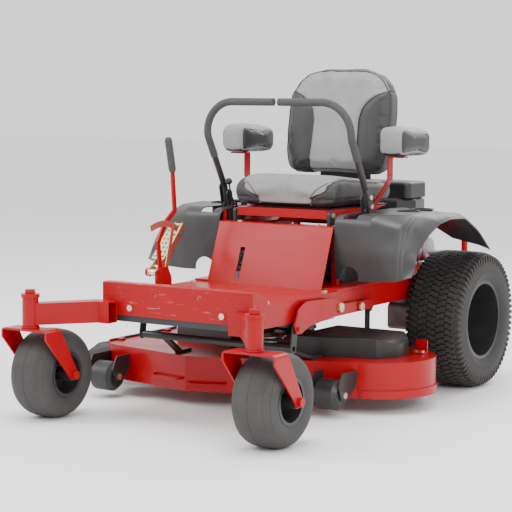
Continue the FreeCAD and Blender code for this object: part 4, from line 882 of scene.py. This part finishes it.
def makeBackrest():
    rings = []
    for i in range(33):
        h = back["height"] * i / 32
        end = min(h, back["height"] - h)
        roundness = math.sqrt(max(0.0, 1 - max(0, 1 - end / 34) ** 2))
        depth = back["halfDeep"] * (0.35 + 0.65 * roundness) * (1.0 - 0.10 * h / back["height"])
        half = between(back["outline"], h) * (0.93 + 0.07 * roundness)
        rings.append(superRing(backFoot + backUp * (h / 1000), half, depth, back["power"],
                               Vector((1, 0, 0)), backDeep))
    piece = lofted("backrestPad", rings)
    puff(piece, back)
    for vert in piece.data.vertices:
        h, x, w = backPlace(vert.co)
        if w < 0:
            edge = between(back["panel"], h)
            bolster = unit((abs(x) - edge) / 40) * unit((between(back["outline"], h) - abs(x)) / 40)
            hollow = max(0.0, 1 - (abs(x) / edge) ** 2) if abs(x) < edge else 0
            vert.co -= backDeep * ((8 * bolster - 7 * hollow) / 1000)
    piece.data.update()

    def toPanel(point):
        h, x, w = backPlace(point)
        return abs(abs(x) - between(back["panel"], h)) / 1000 if w < 5 else 1

    def toGusset(point):
        return abs(backPlace(point)[2] - 22) / 1000

    pinch(piece, toPanel, 0.006, 0.007)
    pinch(piece, toGusset, 0.004, 0.006)

    def choose(centre, normal):
        h, x, w = backPlace(centre)
        if w > -26 and normal.dot(backDeep) > -0.72 and (abs(x) > 180 or h > 300 or w > 20):
            return 2
        return 1 if abs(x) < between(back["panel"], h) else 0

    paintFaces(piece, ["blackVinyl", "greyVinyl", "piping"], choose)
    trims = []
    for sign in (-1, 1):
        line = [backFoot + backUp * (h / 1000) + Vector((sign * between(back["panel"], h) / 1000, 0, 0))
                for h in range(14, 352, 8)]
        trims.append(tube("backSeam", onSurface(piece, line, backDeep, 0.0004), 1.5, "blackVinyl"))
    gusset = []
    for i in range(96):
        a = 2 * math.pi * i / 96
        aim = Vector((math.cos(a), 0, 0)) + backUp * math.sin(a)
        start = backFoot + backUp * (back["height"] / 2000) + backDeep * -0.030 + aim * 0.6
        gusset.append((start, -aim.normalized()))
    tree = BVHTree.FromObject(piece, bpy.context.evaluated_depsgraph_get())
    for shift in (0.0, 0.056):
        ring = []
        for start, aim in gusset:
            hit, normal, _, _ = tree.ray_cast(start + backDeep * shift, aim)
            if hit is not None:
                ring.append(hit + normal * 0.0008)
        trims.append(tube("backPiping", ring, 2.4, "blackVinyl", True))
    trim = joined("backrestPiping", trims)
    finishPiece(smooth(trim, 60), "seat")
    finishPiece(piece, "seat", ("seat_back",))
    return piece


cushion = {"voxel": 6.0, "pressure": 4.0, "cap": 8, "halfWide": 245, "power": 4.2,
           "panel": [(0, 120), (0.35, 126), (0.6, 150), (0.78, 182), (0.9, 208), (1, 214)],
           "side": [(-642, 764, 826), (-630, 760, 858), (-600, 758, 872), (-540, 758, 874), (-460, 758, 868),
                    (-380, 758, 860), (-300, 758, 853), (-220, 760, 848), (-172, 766, 840)]}


def makeCushion():
    lows = [(row[0], row[1]) for row in cushion["side"]]
    highs = [(row[0], row[2]) for row in cushion["side"]]
    rings = []
    for i in range(41):
        y = -642 + 470 * i / 40
        low, high = between(lows, y), between(highs, y)
        half = cushion["halfWide"] * (0.955 + 0.045 * min(1, (y + 642) / 40, (-172 - y) / 40))
        rings.append(superRing(at(0, y, (low + high) / 2), half, (high - low) / 2, cushion["power"],
                               Vector((1, 0, 0)), Vector((0, 0, 1))))
    piece = lofted("cushionPad", rings)
    puff(piece, cushion)
    base = at(0, 0, 754.0).z

    def share(point):  # 0 at the foot of the cushion's side and 1 at its top, by where it is fore and aft
        y, z = (point.y - middle.y) * 1000, point.z * 1000
        low, high = between(lows, y), between(highs, y)
        return unit((z - low) / (high - low))

    for vert in piece.data.vertices:
        x = (vert.co.x - middle.x) * 1000
        y = (vert.co.y - middle.y) * 1000
        if vert.co.z > base + 0.07:
            hollow = max(0.0, 1 - (x / 215) ** 2) * min(1, max(0, (y + 590) / 140))
            vert.co.z -= 9 * hollow / 1000
        vert.co.z = max(vert.co.z, base)
    piece.data.update()

    def toPanel(point):
        side = abs(abs(point.x - middle.x) * 1000 - between(cushion["panel"], share(point)))
        return side / 1000 if point.z > base + 0.012 and (point.y - middle.y) * 1000 < -180 else 1

    def toWelt(point):
        outside = abs(point.x - middle.x) > 0.16 or point.y > middle.y - 0.3
        return abs(point.z - base - 0.034) if outside else 1

    def toFold(point):
        x, y = (point.x - middle.x) * 1000, (point.y - middle.y) * 1000
        return abs(y + 500) / 1000 if abs(x) < 205 and point.z > base + 0.05 else 1

    pinch(piece, toPanel, 0.006, 0.007)
    pinch(piece, toWelt, 0.003, 0.006)
    pinch(piece, toFold, 0.004, 0.007)

    def choose(centre, normal):
        inside = abs(centre.x - middle.x) * 1000 < between(cushion["panel"], share(centre))
        return 1 if inside and centre.y < middle.y - 0.18 and normal.z > -0.5 else 0

    paintFaces(piece, ["blackVinyl", "greyVinyl"], choose)
    trims = []
    for sign in (-1, 1):
        front = []
        for step in range(20):
            z = 768 + step * 5
            half = between(cushion["panel"], (z - 759) / 113)
            front.append(at(sign * half, -700, z))
        line = onSurface(piece, front, Vector((0, 1, 0)), 0.0004)
        top = [at(sign * 214, y, 800) for y in range(-585, -190, 14)]
        line += onSurface(piece, top, Vector((0, 0, -1)), 0.0004)
        trims.append(tube("cushionSeam", line, 1.5, "blackVinyl"))
    trim = joined("cushionPiping", trims)
    finishPiece(smooth(trim, 60), "seat")
    finishPiece(piece, "seat", ("seat_cushion",))
    return piece


armPad = {"inner": 312, "wide": 114, "front": -455, "long": 260, "low": 955, "high": 1072, "voxel": 5.0,
          "pressure": 4.0, "cap": 6, "power": 4.4}


def makeArmPads():
    pads, trims = [], []
    for sign in (-1, 1):
        out = sign * (armPad["inner"] + armPad["wide"] / 2)
        rings = []
        for i in range(25):
            share = i / 24
            y = armPad["front"] + 7 + (armPad["long"] - 14) * share
            end = min(share, 1 - share) * (armPad["long"] - 14)
            roundness = math.sqrt(max(0.0, 1 - max(0, 1 - end / 26) ** 2))
            drop = 16 * max(0.0, share - 0.2)
            half = (armPad["wide"] / 2 - 2) * (0.86 + 0.14 * roundness)
            deep = (armPad["high"] - armPad["low"]) / 2 - 2 - drop / 2
            rings.append(superRing(at(out, y, armPad["low"] + 2 + deep), half,
                                   deep * (0.80 + 0.20 * roundness), armPad["power"],
                                   Vector((1, 0, 0)), Vector((0, 0, 1))))
        pad = lofted("armPad", rings)
        puff(pad, armPad)
        base = armPad["low"] / 1000 + 0.0005
        for vert in pad.data.vertices:
            vert.co.z = max(vert.co.z, base)
        welt = armPad["wide"] / 2000 - 0.0095
        heart = out / 1000 + middle.x
        pad.data.update()
        pinch(pad, lambda point: abs(abs(point.x - heart) - welt), 0.0022, 0.004)
        paintFaces(pad, ["blackVinyl", "greyVinyl"],
                   lambda centre, normal: 1 if abs(centre.x - heart) < welt and normal.z > -0.6 else 0)
        core = at(out, armPad["front"] + armPad["long"] / 2, 1010)
        tree = BVHTree.FromObject(pad, bpy.context.evaluated_depsgraph_get())
        for edge in (-1, 1):
            line = []
            for i in range(44):
                a = math.radians(-60 + 300 * i / 43)
                aim = Vector((0, -math.cos(a), math.sin(a)))
                start = Vector((heart + edge * (welt + 0.0008), core.y, core.z)) + aim * 0.4
                hit, normal, _, _ = tree.ray_cast(start, -aim)
                if hit is not None:
                    line.append(hit + normal * 0.0003)
            trims.append(tube("armSeam", line, 1.4, "blackVinyl"))
        pads.append(pad)
    whole = joined("armrestPads", pads)
    finishPiece(whole, "seat", ("arm_pads",))
    finishPiece(smooth(joined("armrestPiping", trims), 60), "seat")


makeBackrest()
makeCushion()
makeArmPads()
print("seat made")


studio = {"floor": (0.94, 0.94, 0.94), "sky": (1.0, 1.0, 1.0), "skyStrength": 1.35,
          "lamps": [((-3.2, -3.4, 4.2), 2.4, 150.0), ((4.4, -2.2, 2.6), 1.6, 90.0),
                    ((0.4, 3.8, 3.6), 3.0, 120.0), ((0.2, -0.6, 4.6), 2.2, 130.0)]}


def makeStudio():
    bpy.ops.mesh.primitive_plane_add(size=60, location=(0, 0, 0))
    floor = bpy.context.object
    floor.name = "floor"
    paint = Paint("paleFloor")
    floor.data.materials.append(paint.finish(colour=studio["floor"], roughness=0.7))
    world = bpy.data.worlds.new("studioSky")
    world.use_nodes = True
    world.node_tree.nodes["Background"].inputs[0].default_value = (*studio["sky"], 1)
    world.node_tree.nodes["Background"].inputs[1].default_value = studio["skyStrength"]
    bpy.context.scene.world = world
    for number, (place, size, power) in enumerate(studio["lamps"]):
        lamp = bpy.data.lights.new("softLamp" + str(number), "AREA")
        lamp.size, lamp.energy = size, power
        holder = bpy.data.objects.new(lamp.name, lamp)
        bpy.context.scene.collection.objects.link(holder)
        holder.location = place
        holder.rotation_euler = (Vector((0, 0, 0.5)) - Vector(place)).to_track_quat("-Z", "Y").to_euler()


view = {"place": (3399, -6166, 1191), "across": 32.54, "up": 5.57, "roll": 0.38, "lens": 115.95}


def makeCamera():
    a, e, r = (math.radians(view[key]) for key in ("across", "up", "roll"))
    back = Vector((math.sin(a) * math.cos(e), -math.cos(a) * math.cos(e), math.sin(e)))
    right = Vector((math.cos(a), math.sin(a), 0))
    up = back.cross(right)
    sideways = math.cos(r) * right + math.sin(r) * up
    upright = -math.sin(r) * right + math.cos(r) * up
    data = bpy.data.cameras.new("camera")
    data.lens, data.sensor_width = view["lens"], 36.0
    camera = bpy.data.objects.new("camera", data)
    bpy.context.scene.collection.objects.link(camera)
    turn = Matrix((sideways, upright, back)).transposed().to_4x4()
    camera.matrix_world = Matrix.Translation(at(*view["place"])) @ turn
    bpy.context.scene.camera = camera


makeStudio()
makeCamera()
print("studio and camera ready")
